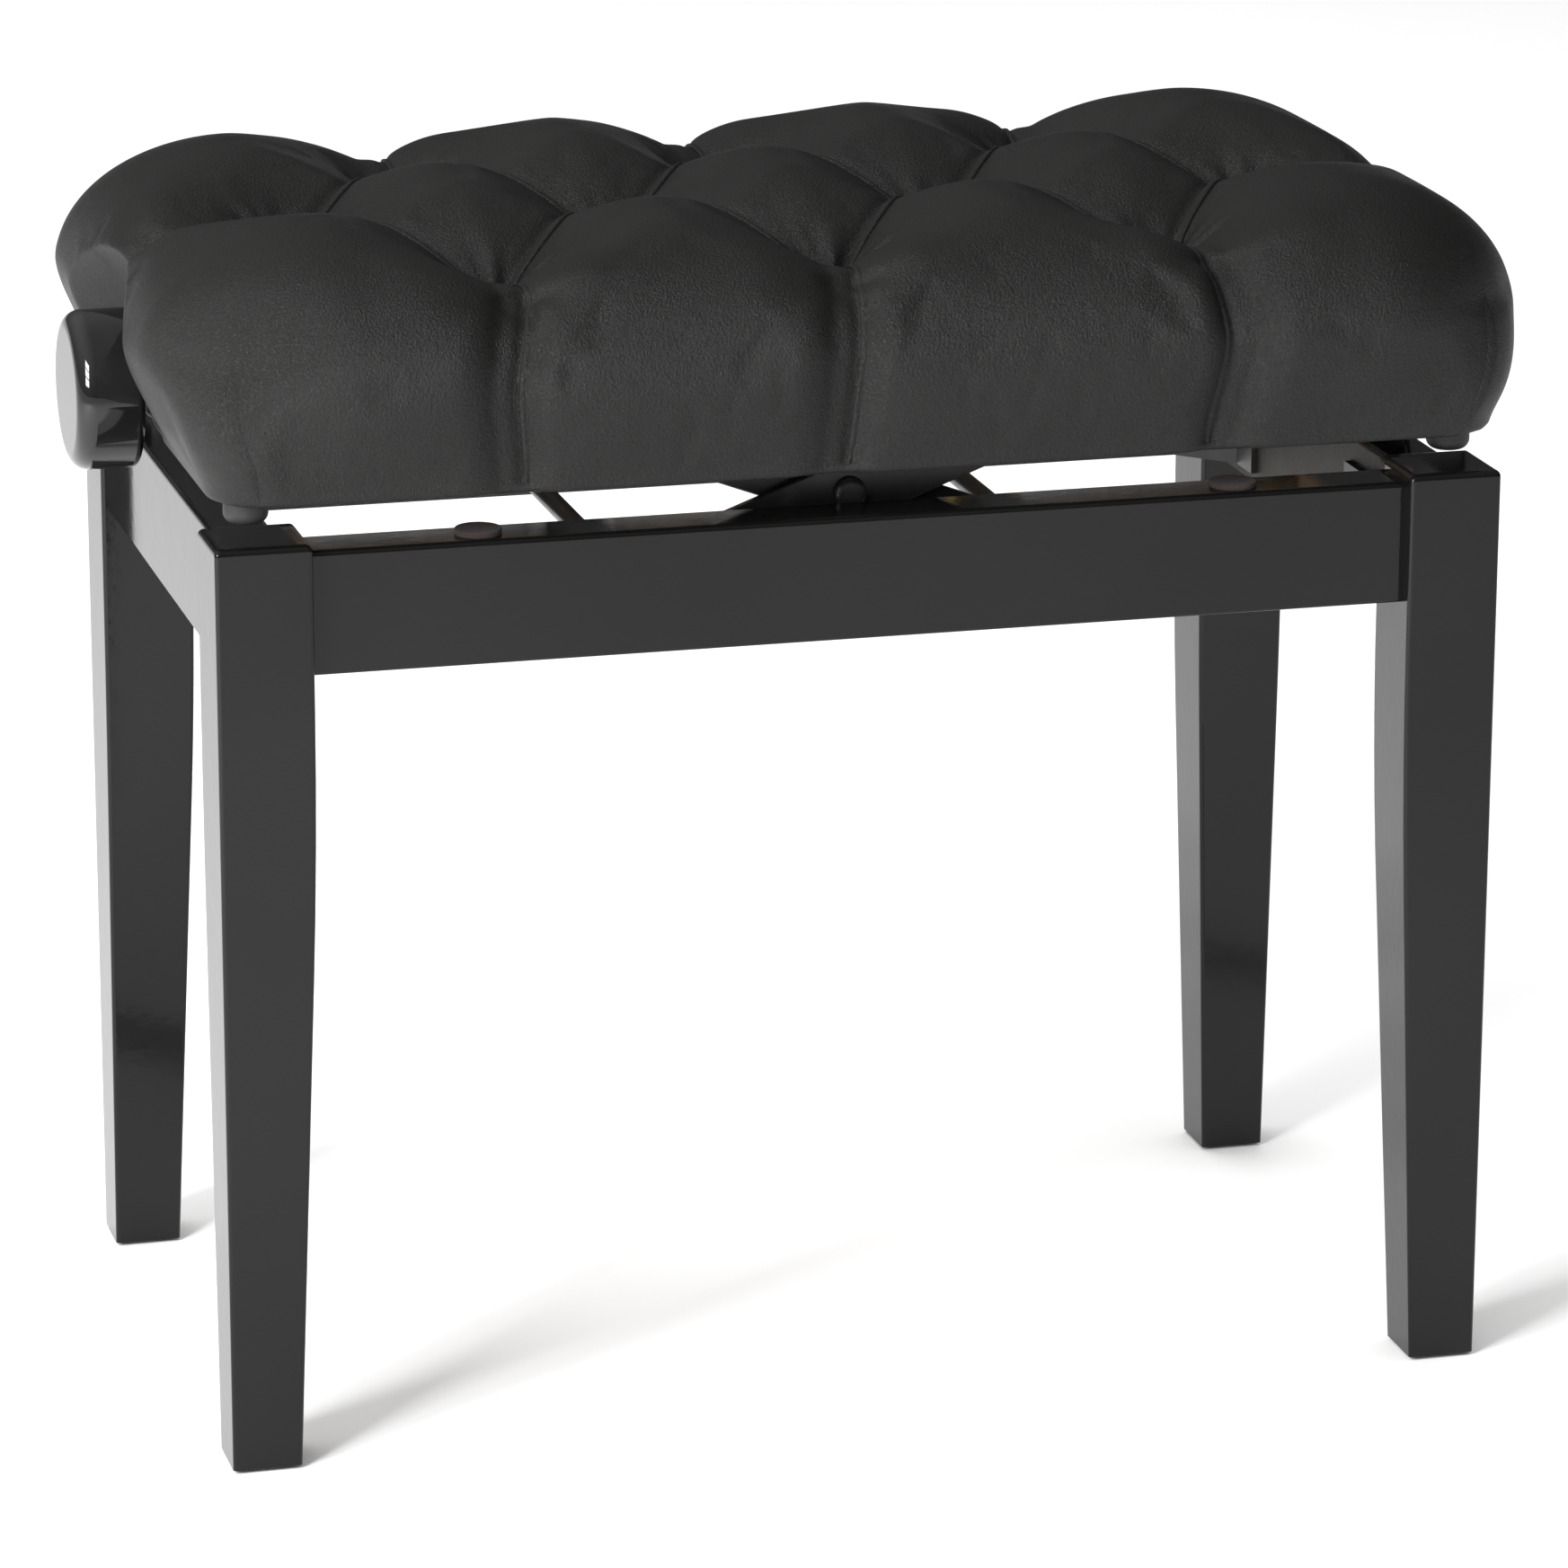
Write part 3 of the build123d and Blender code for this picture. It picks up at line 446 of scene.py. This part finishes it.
def lining():
    """Thin black upholstery cloth with an open plain weave."""
    m = Shader("black_lining")
    weave = []
    for direction in ("X", "Y"):
        wave = m.add("ShaderNodeTexWave", Scale=330.0, Distortion=0.6)
        wave.bands_direction = direction
        m.join(m.place, wave.inputs["Vector"])
        weave.append(wave.outputs["Fac"])
    cloth = m.math("MULTIPLY", *weave)
    m.drive("Base Color", m.ramp(cloth, [(0.1, grey(0.006)), (0.8, grey(0.022))]))
    m.drive("Normal", m.bump(cloth, 0.5, 0.0004))
    m.set(Roughness=0.85, Sheen_Weight=0.2)
    return m.material


def nylon():
    m = Shader("nylon_glide")
    scuff = m.noise(300.0, 5.0)
    m.drive("Base Color", m.ramp(scuff, [(0.3, grey(0.55, 0.03)), (0.7, grey(0.68, 0.03))]))
    m.drive("Roughness", m.span(scuff, 0.35, 0.6))
    m.drive("Normal", m.bump(scuff, 0.1, 0.0002))
    return m.material


MATERIALS = {
    "lacquered_wood": lacquer(),
    "knob_gloss": knob_gloss(),
    "leather": leather(),
    "frame_wood": frame_wood(),
    "black_steel": black_steel(),
    "steel": zinc(),
    "bright_steel": ground_steel(),
    "brass": brass(),
    "rubber": rubber(),
    "felt": felt(),
    "lining": lining(),
    "nylon": nylon(),
}


def finish_piece(obj, slot):
    """Give an object the one material that its slot names."""
    material = MATERIALS[slot]
    if not obj.material_slots:
        obj.data.materials.append(material)
    for place in obj.material_slots:
        place.material = material


for name, obj in NODES.items():
    finish_piece(obj, SLOT_OF[name])


# ---------------------------------------------------------------- tufted leather seat

class Crease:
    """A valley between pillows, as a straight line on the seat's surface laid out flat."""

    def __init__(self, start, end, depths, reach=PILLOW_REACH, strip=0):
        self.start = np.array(start)
        self.end = np.array(end)
        self.depths = depths
        self.reach = reach
        self.strip = strip

    def measure(self, flat):
        """Signed distance to the crease, and how far along it each point is, from 0 to 1."""
        along = self.end - self.start
        length = np.linalg.norm(along)
        unit = along / length
        offset = flat - self.start
        t = np.clip(offset @ unit / length, 0, 1)
        distance = np.linalg.norm(offset - t[:, None] * along, axis=1)
        side = offset @ np.array((-unit[1], unit[0]))
        return np.where(side < 0, -distance, distance), t

    def pull(self, flat):
        """How deep the valley is at each point."""
        distance, t = self.measure(flat)
        away = np.abs(distance)
        reach = self.reach
        if self.strip:
            beside = np.sign(distance) == self.strip
            away = np.where(beside, np.maximum(away - STRIP, STRIP_SLOPE * away), away)
            reach = np.where(beside, STRIP_SIDE * reach, STEEP_SIDE * reach)
        depth = self.depths[0] + (self.depths[1] - self.depths[0]) * t
        return depth * np.clip(1 - away / reach, 0, 1) ** VALLEY_CURVE


def side_of(value):
    return 1 if value > 0 else -1


def lean(tuft):
    """Which side of an edge pleat its flat strip lies on."""
    return side_of(tuft[1]) * (1 if tuft[0] < TUFT_X / 2 else -1)


def neighbours():
    """Each pair of tufts that a diagonal pleat joins."""
    return [(tuft, middle) for tuft in LONG_TUFTS for middle in MIDDLE_TUFTS
            if abs(tuft[0] - middle[0]) < 0.6 * TUFT_X]


def edge_path(tuft):
    """A pleat's way from a tuft over the edge and down the side, laid out flat."""
    side = side_of(tuft[1])
    edge_x, foot_x = PLEAT_X[tuft[0]]
    return [tuft, (edge_x, side * (HALF_Y + PAST_EDGE)), (foot_x, side * (HALF_Y + DROP))]


def end_path(middle):
    """The same for the pleat that runs from an end tuft over the seat's end."""
    side = side_of(middle[0])
    return [middle, (side * (HALF_X + PAST_EDGE), 0.0), (side * (HALF_X + DROP), 0.0)]


def corner_path(sx, sy):
    """The tuck at a corner, low on the front or back face."""
    return [(sx * (HALF_X - inset), sy * (HALF_Y + down)) for inset, down in CORNER_TUCK]


def over_edge(path, strip=0):
    """The two creases of a pleat that runs over an edge."""
    start, edge, foot = path
    return [Crease(start, edge, (VALLEY, EDGE_VALLEY), PILLOW_REACH, strip),
            Crease(edge, foot, (EDGE_VALLEY, FACE_VALLEY), FACE_REACH, strip)]


def creases():
    """Diagonals between tufts, then the pleats that run over the edges and down the sides."""
    lines = [Crease(tuft, middle, (VALLEY, VALLEY)) for tuft, middle in neighbours()]
    for tuft in LONG_TUFTS:
        lines += over_edge(edge_path(tuft), lean(tuft))
    for middle in END_TUFTS:
        lines += over_edge(end_path(middle))
    return lines


CREASES = creases()


def laid_flat(box):
    """Box coordinates to the flat layout: the sides fold out from the top's edges."""
    x, y, z = box.T
    drop = TOP_Z - z
    flat = np.stack((x, y), axis=1)
    on_side = drop > TINY
    ends = on_side & (np.abs(x) > HALF_X - TINY)
    fronts = on_side & ~ends
    flat[ends, 0] += np.sign(x[ends]) * drop[ends]
    flat[fronts, 1] += np.where(y[fronts] < 0, -1, 1) * drop[fronts]
    return flat


def above(box):
    """1 on the top and sides, 0 on the underside."""
    return (box[:, 2] > BOTTOM_Z - TINY).astype(float)


def smooth_step(value, low, high):
    t = np.clip((value - low) / (high - low), 0, 1)
    return t * t * (3 - 2 * t)


def rounded_plan(x, y, half_x, half_y, radius):
    """Points of a rectangle's plan moved onto one with rounded corners."""
    kept_x = np.clip(x, radius - half_x, half_x - radius)
    kept_y = np.clip(y, radius - half_y, half_y - radius)
    out_x = x - kept_x
    out_y = y - kept_y
    reach = np.maximum(np.maximum(np.abs(out_x), np.abs(out_y)), GUARD)
    length = np.maximum(np.hypot(out_x, out_y), GUARD)
    return kept_x + out_x * reach / length, kept_y + out_y * reach / length


def slab(box):
    """The plain upholstered block: soft top edges, and sides that draw in to the frame."""
    x, y, z = box.T
    tall = np.array((1, 1, EDGE_REACH / EDGE_DROP))
    core = np.stack((np.clip(x, -HALF_X + EDGE_REACH, HALF_X - EDGE_REACH),
                     np.clip(y, -HALF_Y + EDGE_REACH, HALF_Y - EDGE_REACH),
                     np.minimum(z, TOP_Z - EDGE_DROP)), axis=1)
    out = (box - core) * tall
    reach = np.max(np.abs(out), axis=1)
    length = np.maximum(np.linalg.norm(out, axis=1), GUARD)
    soft = core + out * (reach / length)[:, None] / tall
    tight_x, tight_y = rounded_plan(x, y, HALF_X, HALF_Y, LOW_CORNER_R)
    low = 1 - smooth_step(z, *CORNER_Z)
    draw_in = 1 - smooth_step(z, *DRAW_Z)
    px = soft[:, 0] * (1 - low) + tight_x * low
    py = soft[:, 1] * (1 - low) + tight_y * low
    px *= 1 - draw_in * (1 - LOW_X / HALF_X)
    py *= 1 - draw_in * (1 - LOW_Y / HALF_Y)
    return np.stack((px, py, soft[:, 2]), axis=1)


def underside(rim, box):
    """The leather turned in under the frame, then a hollow that holds the frame and its board."""
    rings = np.round((BOTTOM_Z - box[:, 2]) / RING_STEP).astype(int)
    inset, rise = np.array(TURN_IN)[np.clip(rings, 1, len(TURN_IN)) - 1].T
    scale_x = (LOW_X - inset) / LOW_X
    scale_y = (LOW_Y - inset) / LOW_Y
    return np.stack((rim[:, 0] * scale_x, rim[:, 1] * scale_y, BOTTOM_Z + rise), axis=1)


def blended(depths):
    """Nearly the deepest of several hollows, with soft joins between them."""
    return np.sum(np.array(depths) ** SOFT_JOIN, axis=0) ** (1 / SOFT_JOIN)


def pulled_in(flat):
    """How far the surface is drawn in from the plain block, by valleys and by tufts."""
    cones = []
    for tuft in TUFTS:
        away = np.linalg.norm(flat - np.array(tuft), axis=1)
        cones.append((PIT - VALLEY) * np.clip(1 - away / PIT_REACH, 0, 1) ** PIT_CURVE)
    return blended([crease.pull(flat) for crease in CREASES]) + blended(cones)


def gathers(angle, number):
    """The fan of small folds round a tuft: two sets of waves, turned differently at each tuft."""
    broad = np.sin(7 * angle + 1.7 * number + 0.8 * np.sin(2 * angle + number))
    narrow = np.sin(12 * angle + 2.9 * number + 1.1 * np.sin(3 * angle))
    return broad + 0.7 * narrow


def folds(flat):
    """The fine shape of the leather: a groove along each valley, and gathers round the tufts."""
    depth = np.zeros(len(flat))
    for crease in CREASES:
        distance, _ = crease.measure(flat)
        depth = np.maximum(depth, GROOVE * np.exp(-(distance / GROOVE_REACH) ** 2))
    for number, tuft in enumerate(TUFTS):
        offset = flat - np.array(tuft)
        away = np.linalg.norm(offset, axis=1)
        angle = np.arctan2(offset[:, 1], offset[:, 0])
        ring = smooth_step(away, *GATHER_START) * np.exp(-(away / GATHER_REACH) ** 2)
        depth += GATHER * ring * gathers(angle, number)
    return depth


def grid_block(cell):
    """A closed grid over the seat's box: (box coordinates, faces). The underside's points are
    marked by a z that steps down from each ring to the next one in."""
    nx, ny, nz = [int(round(size / cell)) for size in (2 * HALF_X, 2 * HALF_Y, DROP)]
    xs = np.linspace(-HALF_X, HALF_X, nx + 1)
    ys = np.linspace(-HALF_Y, HALF_Y, ny + 1)
    zs = np.linspace(BOTTOM_Z, TOP_Z, nz + 1)
    index = {}
    points = []
    faces = []

    def point(i, j, k):
        if (i, j, k) not in index:
            index[i, j, k] = len(points)
            ring = min(i, nx - i, j, ny - j) if k == 0 else 0
            points.append((xs[i], ys[j], zs[k] - RING_STEP * ring))
        return index[i, j, k]

    def quad(*corners):
        faces.append(tuple(point(*corner) for corner in corners))

    for i in range(nx):
        for j in range(ny):
            quad((i, j, nz), (i + 1, j, nz), (i + 1, j + 1, nz), (i, j + 1, nz))
            quad((i, j, 0), (i, j + 1, 0), (i + 1, j + 1, 0), (i + 1, j, 0))
    for k in range(nz):
        for i in range(nx):
            quad((i, 0, k), (i + 1, 0, k), (i + 1, 0, k + 1), (i, 0, k + 1))
            quad((i + 1, ny, k), (i, ny, k), (i, ny, k + 1), (i + 1, ny, k + 1))
        for j in range(ny):
            quad((0, j + 1, k), (0, j, k), (0, j, k + 1), (0, j + 1, k + 1))
            quad((nx, j, k), (nx, j + 1, k), (nx, j + 1, k + 1), (nx, j, k + 1))
    return np.array(points), faces


def new_mesh(name, points, faces):
    mesh = bpy.data.meshes.new(name)
    mesh.from_pydata([tuple(p) for p in points], [], faces)
    mesh.validate()
    mesh.shade_smooth()
    obj = bpy.data.objects.new(name, mesh)
    bpy.context.scene.collection.objects.link(obj)
    return obj


def coordinates(mesh):
    flat = np.empty(len(mesh.vertices) * 3)
    mesh.vertices.foreach_get("co", flat)
    return flat.reshape(-1, 3)


def set_coordinates(mesh, points):
    mesh.vertices.foreach_set("co", np.ascontiguousarray(points).ravel())
    mesh.update()


def normals(mesh):
    flat = np.empty(len(mesh.vertices) * 3, dtype=np.float32)
    mesh.vertex_normals.foreach_get("vector", flat)
    return flat.reshape(-1, 3).astype(float)


def evaluated(obj):
    return obj.evaluated_get(bpy.context.evaluated_depsgraph_get())


def clear_of_knobs(points, box):
    """Draw the leather in behind each knob."""
    away = np.hypot(points[:, 1], points[:, 2] - SPINDLE_Z)
    limit = LOW_X - KNOB_CLEAR + KNOB_HOLLOW * smooth_step(away, *KNOB_RING)
    points[:, 0] = np.where(above(box) > 0, np.clip(points[:, 0], -limit, limit), points[:, 0])
    return points


def held(box):
    """How firmly the cloth holds each point, from 0 to 1."""
    flat = laid_flat(box)
    hold = np.where(box[:, 2] < BOTTOM_Z + HELD_FOOT, 1.0, 0.0)
    for crease in CREASES:
        distance, _ = crease.measure(flat)
        hold = np.maximum(hold, VALLEY_GRIP * np.exp(-(distance / HELD_VALLEY) ** 2))
    for tuft in TUFTS:
        away = np.linalg.norm(flat - np.array(tuft), axis=1)
        hold = np.maximum(hold, np.exp(-(away / HELD_TUFT) ** 2))
    return hold


def inflate(obj, box, start):
    """Swell the leather with cloth pressure, and give back its points. None moves too far."""
    group = obj.vertex_groups.new(name="held")
    levels = np.round(held(box), 1)
    for level in np.unique(levels):
        if level > 0:
            members = np.nonzero(levels == level)[0]
            group.add([int(m) for m in members], float(level), "REPLACE")
    cloth = obj.modifiers.new("cloth", "CLOTH")
    for name, value in CLOTH.items():
        setattr(cloth.settings, name, value)
    cloth.settings.effector_weights.gravity = 0
    cloth.point_cache.frame_start = 1
    cloth.point_cache.frame_end = CLOTH_STEPS
    scene = bpy.context.scene
    for step in range(1, CLOTH_STEPS + 1):
        scene.frame_set(step)
    settled = evaluated(obj)
    move = coordinates(settled.to_mesh()) - start
    settled.to_mesh_clear()
    obj.modifiers.clear()
    scene.frame_set(1)
    size = np.linalg.norm(move, axis=1)
    kept = MOST_SWELL * np.tanh(size / MOST_SWELL) / np.maximum(size, GUARD)
    return start + move * kept[:, None]


def sampled(path, bow=0.0):
    """Evenly spaced points along a flat path, bowed sideways in the middle."""
    corners = [np.array(corner) for corner in path]
    points = []
    for start, end in zip(corners, corners[1:]):
        along = end - start
        length = np.linalg.norm(along)
        sideways = np.array((-along[1], along[0])) / length
        count = max(int(length / PLEAT_STEP), 2)
        for t in np.linspace(0, 1, count, endpoint=False):
            points.append(start + along * t + sideways * bow * sin(pi * t))
    return points + [corners[-1]]


def pleat_paths():
    """Each pleat's flat path, with its section and the side it lies over to."""
    paths = []
    for number, pair in enumerate(neighbours()):
        paths.append((sampled(pair, BOW * (-1) ** number), DOUBLE_FOLD, 1))
    for tuft in LONG_TUFTS:
        paths.append((sampled(edge_path(tuft)), SINGLE_FOLD, lean(tuft)))
    for middle in END_TUFTS:
        paths.append((sampled(end_path(middle)), SINGLE_FOLD, 1))
    for sx in (-1, 1):
        for sy in (-1, 1):
            paths.append((sampled(corner_path(sx, sy)), SINGLE_FOLD, -sx * sy))
    return paths


def on_surface(tree, places, surface, facing):
    """Points and normals on the leather for places on its flat layout."""
    points = []
    ups = []
    for place in places:
        near = tree.find_n((place[0], place[1], 0), NEAREST)
        weights = np.array([np.exp(-(distance / NEAR_BY) ** 2) for _, _, distance in near])
        members = [index for _, index, _ in near]
        points.append(weights @ surface[members] / weights.sum())
        up = weights @ facing[members]
        ups.append(up / np.linalg.norm(up))
    return np.array(points), np.array(ups)


def softened(values, times=3):
    for _ in range(times):
        values[1:-1] = (values[:-2] + 2 * values[1:-1] + values[2:]) / 4
    return values


def pleats(flat, surface, facing):
    """The folded edges of the leather, laid along the valleys of the finished surface."""
    tree = KDTree(len(flat))
    for index, (u, v) in enumerate(flat):
        tree.insert((u, v, 0), index)
    tree.balance()
    points = []
    faces = []
    for places, section, over in pleat_paths():
        line, up = [softened(values) for values in on_surface(tree, places, surface, facing)]
        across = np.cross(np.gradient(line, axis=0), up)
        across /= np.linalg.norm(across, axis=1)[:, None]
        size = len(section)
        last = len(line) - 1
        for step in range(len(line)):
            grown = min(1.0, TAPER[0] + TAPER[1] * min(step, last - step))
            if step in (0, last):
                faces.append([len(points) + i for i in range(size)])
            for out, rise in section:
                sideways = across[step] * out * over * grown
                upward = up[step] * (rise * grown - (1 - grown) * SINK)
                points.append(line[step] + (sideways + upward) * MM)
            if step:
                base = len(points) - 2 * size
                for i in range(size):
                    j = (i + 1) % size
                    faces.append((base + i, base + j, base + size + j, base + size + i))
    return new_mesh("seat_pleats", points, faces)


def outward(obj):
    """Turn every face of a closed mesh to face out."""
    shape = bmesh.new()
    shape.from_mesh(obj.data)
    bmesh.ops.recalc_face_normals(shape, faces=shape.faces)
    shape.to_mesh(obj.data)
    shape.free()


def pillows():
    """The leather with its valleys and pits, swollen by the cloth: (object, box coordinates)."""
    box, faces = grid_block(CELL)
    block = slab(np.column_stack((box[:, :2], np.maximum(box[:, 2], BOTTOM_Z))))
    is_above = above(box)[:, None]
    block = np.where(is_above > 0, block, underside(block, box))
    obj = new_mesh("seat_leather", block, faces)
    points = block - normals(obj.data) * is_above * pulled_in(laid_flat(box))[:, None]
    points = clear_of_knobs(points, box)
    set_coordinates(obj.data, points)
    set_coordinates(obj.data, clear_of_knobs(inflate(obj, box, points), box))
    return obj, box


def subdivided(obj, box):
    """Give an object a finer mesh, and work out that mesh's box coordinates."""
    stored = obj.data.attributes.new("box", "FLOAT_VECTOR", "POINT")
    stored.data.foreach_set("vector", box.ravel())
    divide = obj.modifiers.new("divide", "SUBSURF")
    divide.levels = 1
    divide.render_levels = 1
    fine = bpy.data.meshes.new_from_object(evaluated(obj))
    obj.modifiers.clear()
    obj.data = fine
    fine_box = np.empty(len(fine.vertices) * 3)
    fine.attributes["box"].data.foreach_get("vector", fine_box)
    fine.attributes.remove(fine.attributes["box"])
    return fine_box.reshape(-1, 3)


def tufted_seat():
    """The leather and its pleats."""
    obj, box = pillows()
    box = subdivided(obj, box)
    mesh = obj.data
    flat = laid_flat(box)
    shaped = above(box) * smooth_step(box[:, 2], BOTTOM_Z, BOTTOM_Z + FOOT_BAND)
    points = coordinates(mesh) - normals(mesh) * (shaped * folds(flat))[:, None]
    points = clear_of_knobs(points, box)
    set_coordinates(mesh, points)
    mesh.shade_smooth()
    upper = above(box) > 0
    return obj, pleats(flat[upper], points[upper], normals(mesh)[upper])


seat, seat_pleats = tufted_seat()
outward(seat_pleats)
for piece in (seat, seat_pleats):
    finish_piece(piece, "leather")
    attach(piece, "seat")
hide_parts("seat_cushion", "seat_border")


# ---------------------------------------------------------------- floor, light and camera

def floor():
    corners = [(x * FLOOR_REACH, y * FLOOR_REACH, 0) for x, y in ((-1, -1), (1, -1), (1, 1), (-1, 1))]
    obj = new_mesh("studio_floor", corners, [(0, 1, 2, 3)])
    m = Shader("pale_floor")
    m.drive("Base Color", m.ramp(m.noise(2.0, 2.0), [(0.3, grey(0.95)), (0.7, grey(0.97))]))
    m.set(Roughness=0.9, IOR=1.2)
    obj.data.materials.append(m.material)


def sky():
    """An even white studio. In reflections it is dim: darker low down and to the right."""
    world = bpy.data.worlds.new("studio")
    bpy.context.scene.world = world
    world.use_nodes = True
    nodes = world.node_tree.nodes
    join = world.node_tree.links.new
    split = nodes.new("ShaderNodeSeparateXYZ")
    join(nodes.new("ShaderNodeTexCoord").outputs["Generated"], split.inputs["Vector"])
    reflected = nodes.new("ShaderNodeMath")
    reflected.operation = "MULTIPLY"
    for factor, (axis, span) in zip(reflected.inputs, SKY.items()):
        graded = nodes.new("ShaderNodeMapRange")
        graded.interpolation_type = "SMOOTHSTEP"
        for name, value in zip(("From Min", "From Max", "To Min", "To Max"), span):
            graded.inputs[name].default_value = value
        join(split.outputs[axis], graded.inputs["Value"])
        join(graded.outputs["Result"], factor)
    choice = nodes.new("ShaderNodeMix")
    join(nodes.new("ShaderNodeLightPath").outputs["Is Glossy Ray"], choice.inputs["Factor"])
    choice.inputs["A"].default_value = STUDIO
    join(reflected.outputs["Value"], choice.inputs["B"])
    background = nodes["Background"]
    background.inputs["Color"].default_value = (1, 1, 1, 1)
    join(choice.outputs["Result"], background.inputs["Strength"])


def towards(azimuth, elevation):
    a = radians(azimuth)
    e = radians(elevation)
    return Vector((sin(a) * cos(e), -cos(a) * cos(e), sin(e)))


def add_light(name, kind, place, aim, power, in_reflections):
    data = bpy.data.lights.new(name, kind)
    data.energy = power
    obj = bpy.data.objects.new(name, data)
    obj.location = place
    obj.rotation_mode = "QUATERNION"
    obj.rotation_quaternion = (Vector(aim) - Vector(place)).to_track_quat("-Z", "Y")
    obj.visible_glossy = in_reflections
    obj.visible_camera = False
    bpy.context.scene.collection.objects.link(obj)
    return data


def lights():
    """Soft light for the floor, more of it behind and to the left, and a window at the left."""
    for name, azimuth, elevation, strength in SUNS:
        place = towards(azimuth, elevation) * SUN_DISTANCE
        sun = add_light(name, "SUN", place, (0, 0, 0), strength, False)
        sun.angle = radians(SUN_SPREAD)
    glow = add_light("glow_behind", "AREA", GLOW_PLACE, GLOW_AIM, GLOW_POWER, False)
    glow.shape = "DISK"
    glow.size = GLOW_SIZE
    outlook = towards(WINDOW_AZIMUTH, WINDOW_ELEVATION)
    middle = Vector(WINDOW_AIM)
    facing = (-outlook).to_track_quat("-Z", "Y").to_matrix()
    for column in (-0.5, 0.5):
        for row in (-1, 0, 1):
            offset = facing @ Vector((column, row, 0)) * PANE_PITCH
            place = middle + outlook * WINDOW_DISTANCE + offset
            pane = add_light("window_pane", "AREA", place, middle, PANE_POWER, True)
            pane.shape = "SQUARE"
            pane.size = PANE_SHARE * PANE_PITCH


def camera():
    data = bpy.data.cameras.new("camera")
    data.lens = CAMERA_LENS
    data.sensor_width = SENSOR_WIDTH
    data.clip_end = FAR_CLIP
    obj = bpy.data.objects.new("camera", data)
    obj.location = CAMERA_PLACE
    obj.rotation_mode = "QUATERNION"
    forward = -towards(CAMERA_AZIMUTH, CAMERA_ELEVATION)
    right = forward.cross(Vector((0, 0, 1))).normalized()
    up = right.cross(forward)
    roll = Matrix.Rotation(radians(CAMERA_ROLL), 3, "Z")
    obj.rotation_quaternion = (Matrix((right, up, -forward)).transposed() @ roll).to_quaternion()
    bpy.context.scene.collection.objects.link(obj)
    bpy.context.scene.camera = obj


floor()
sky()
lights()
camera()
bpy.context.scene.view_settings.view_transform = "Standard"
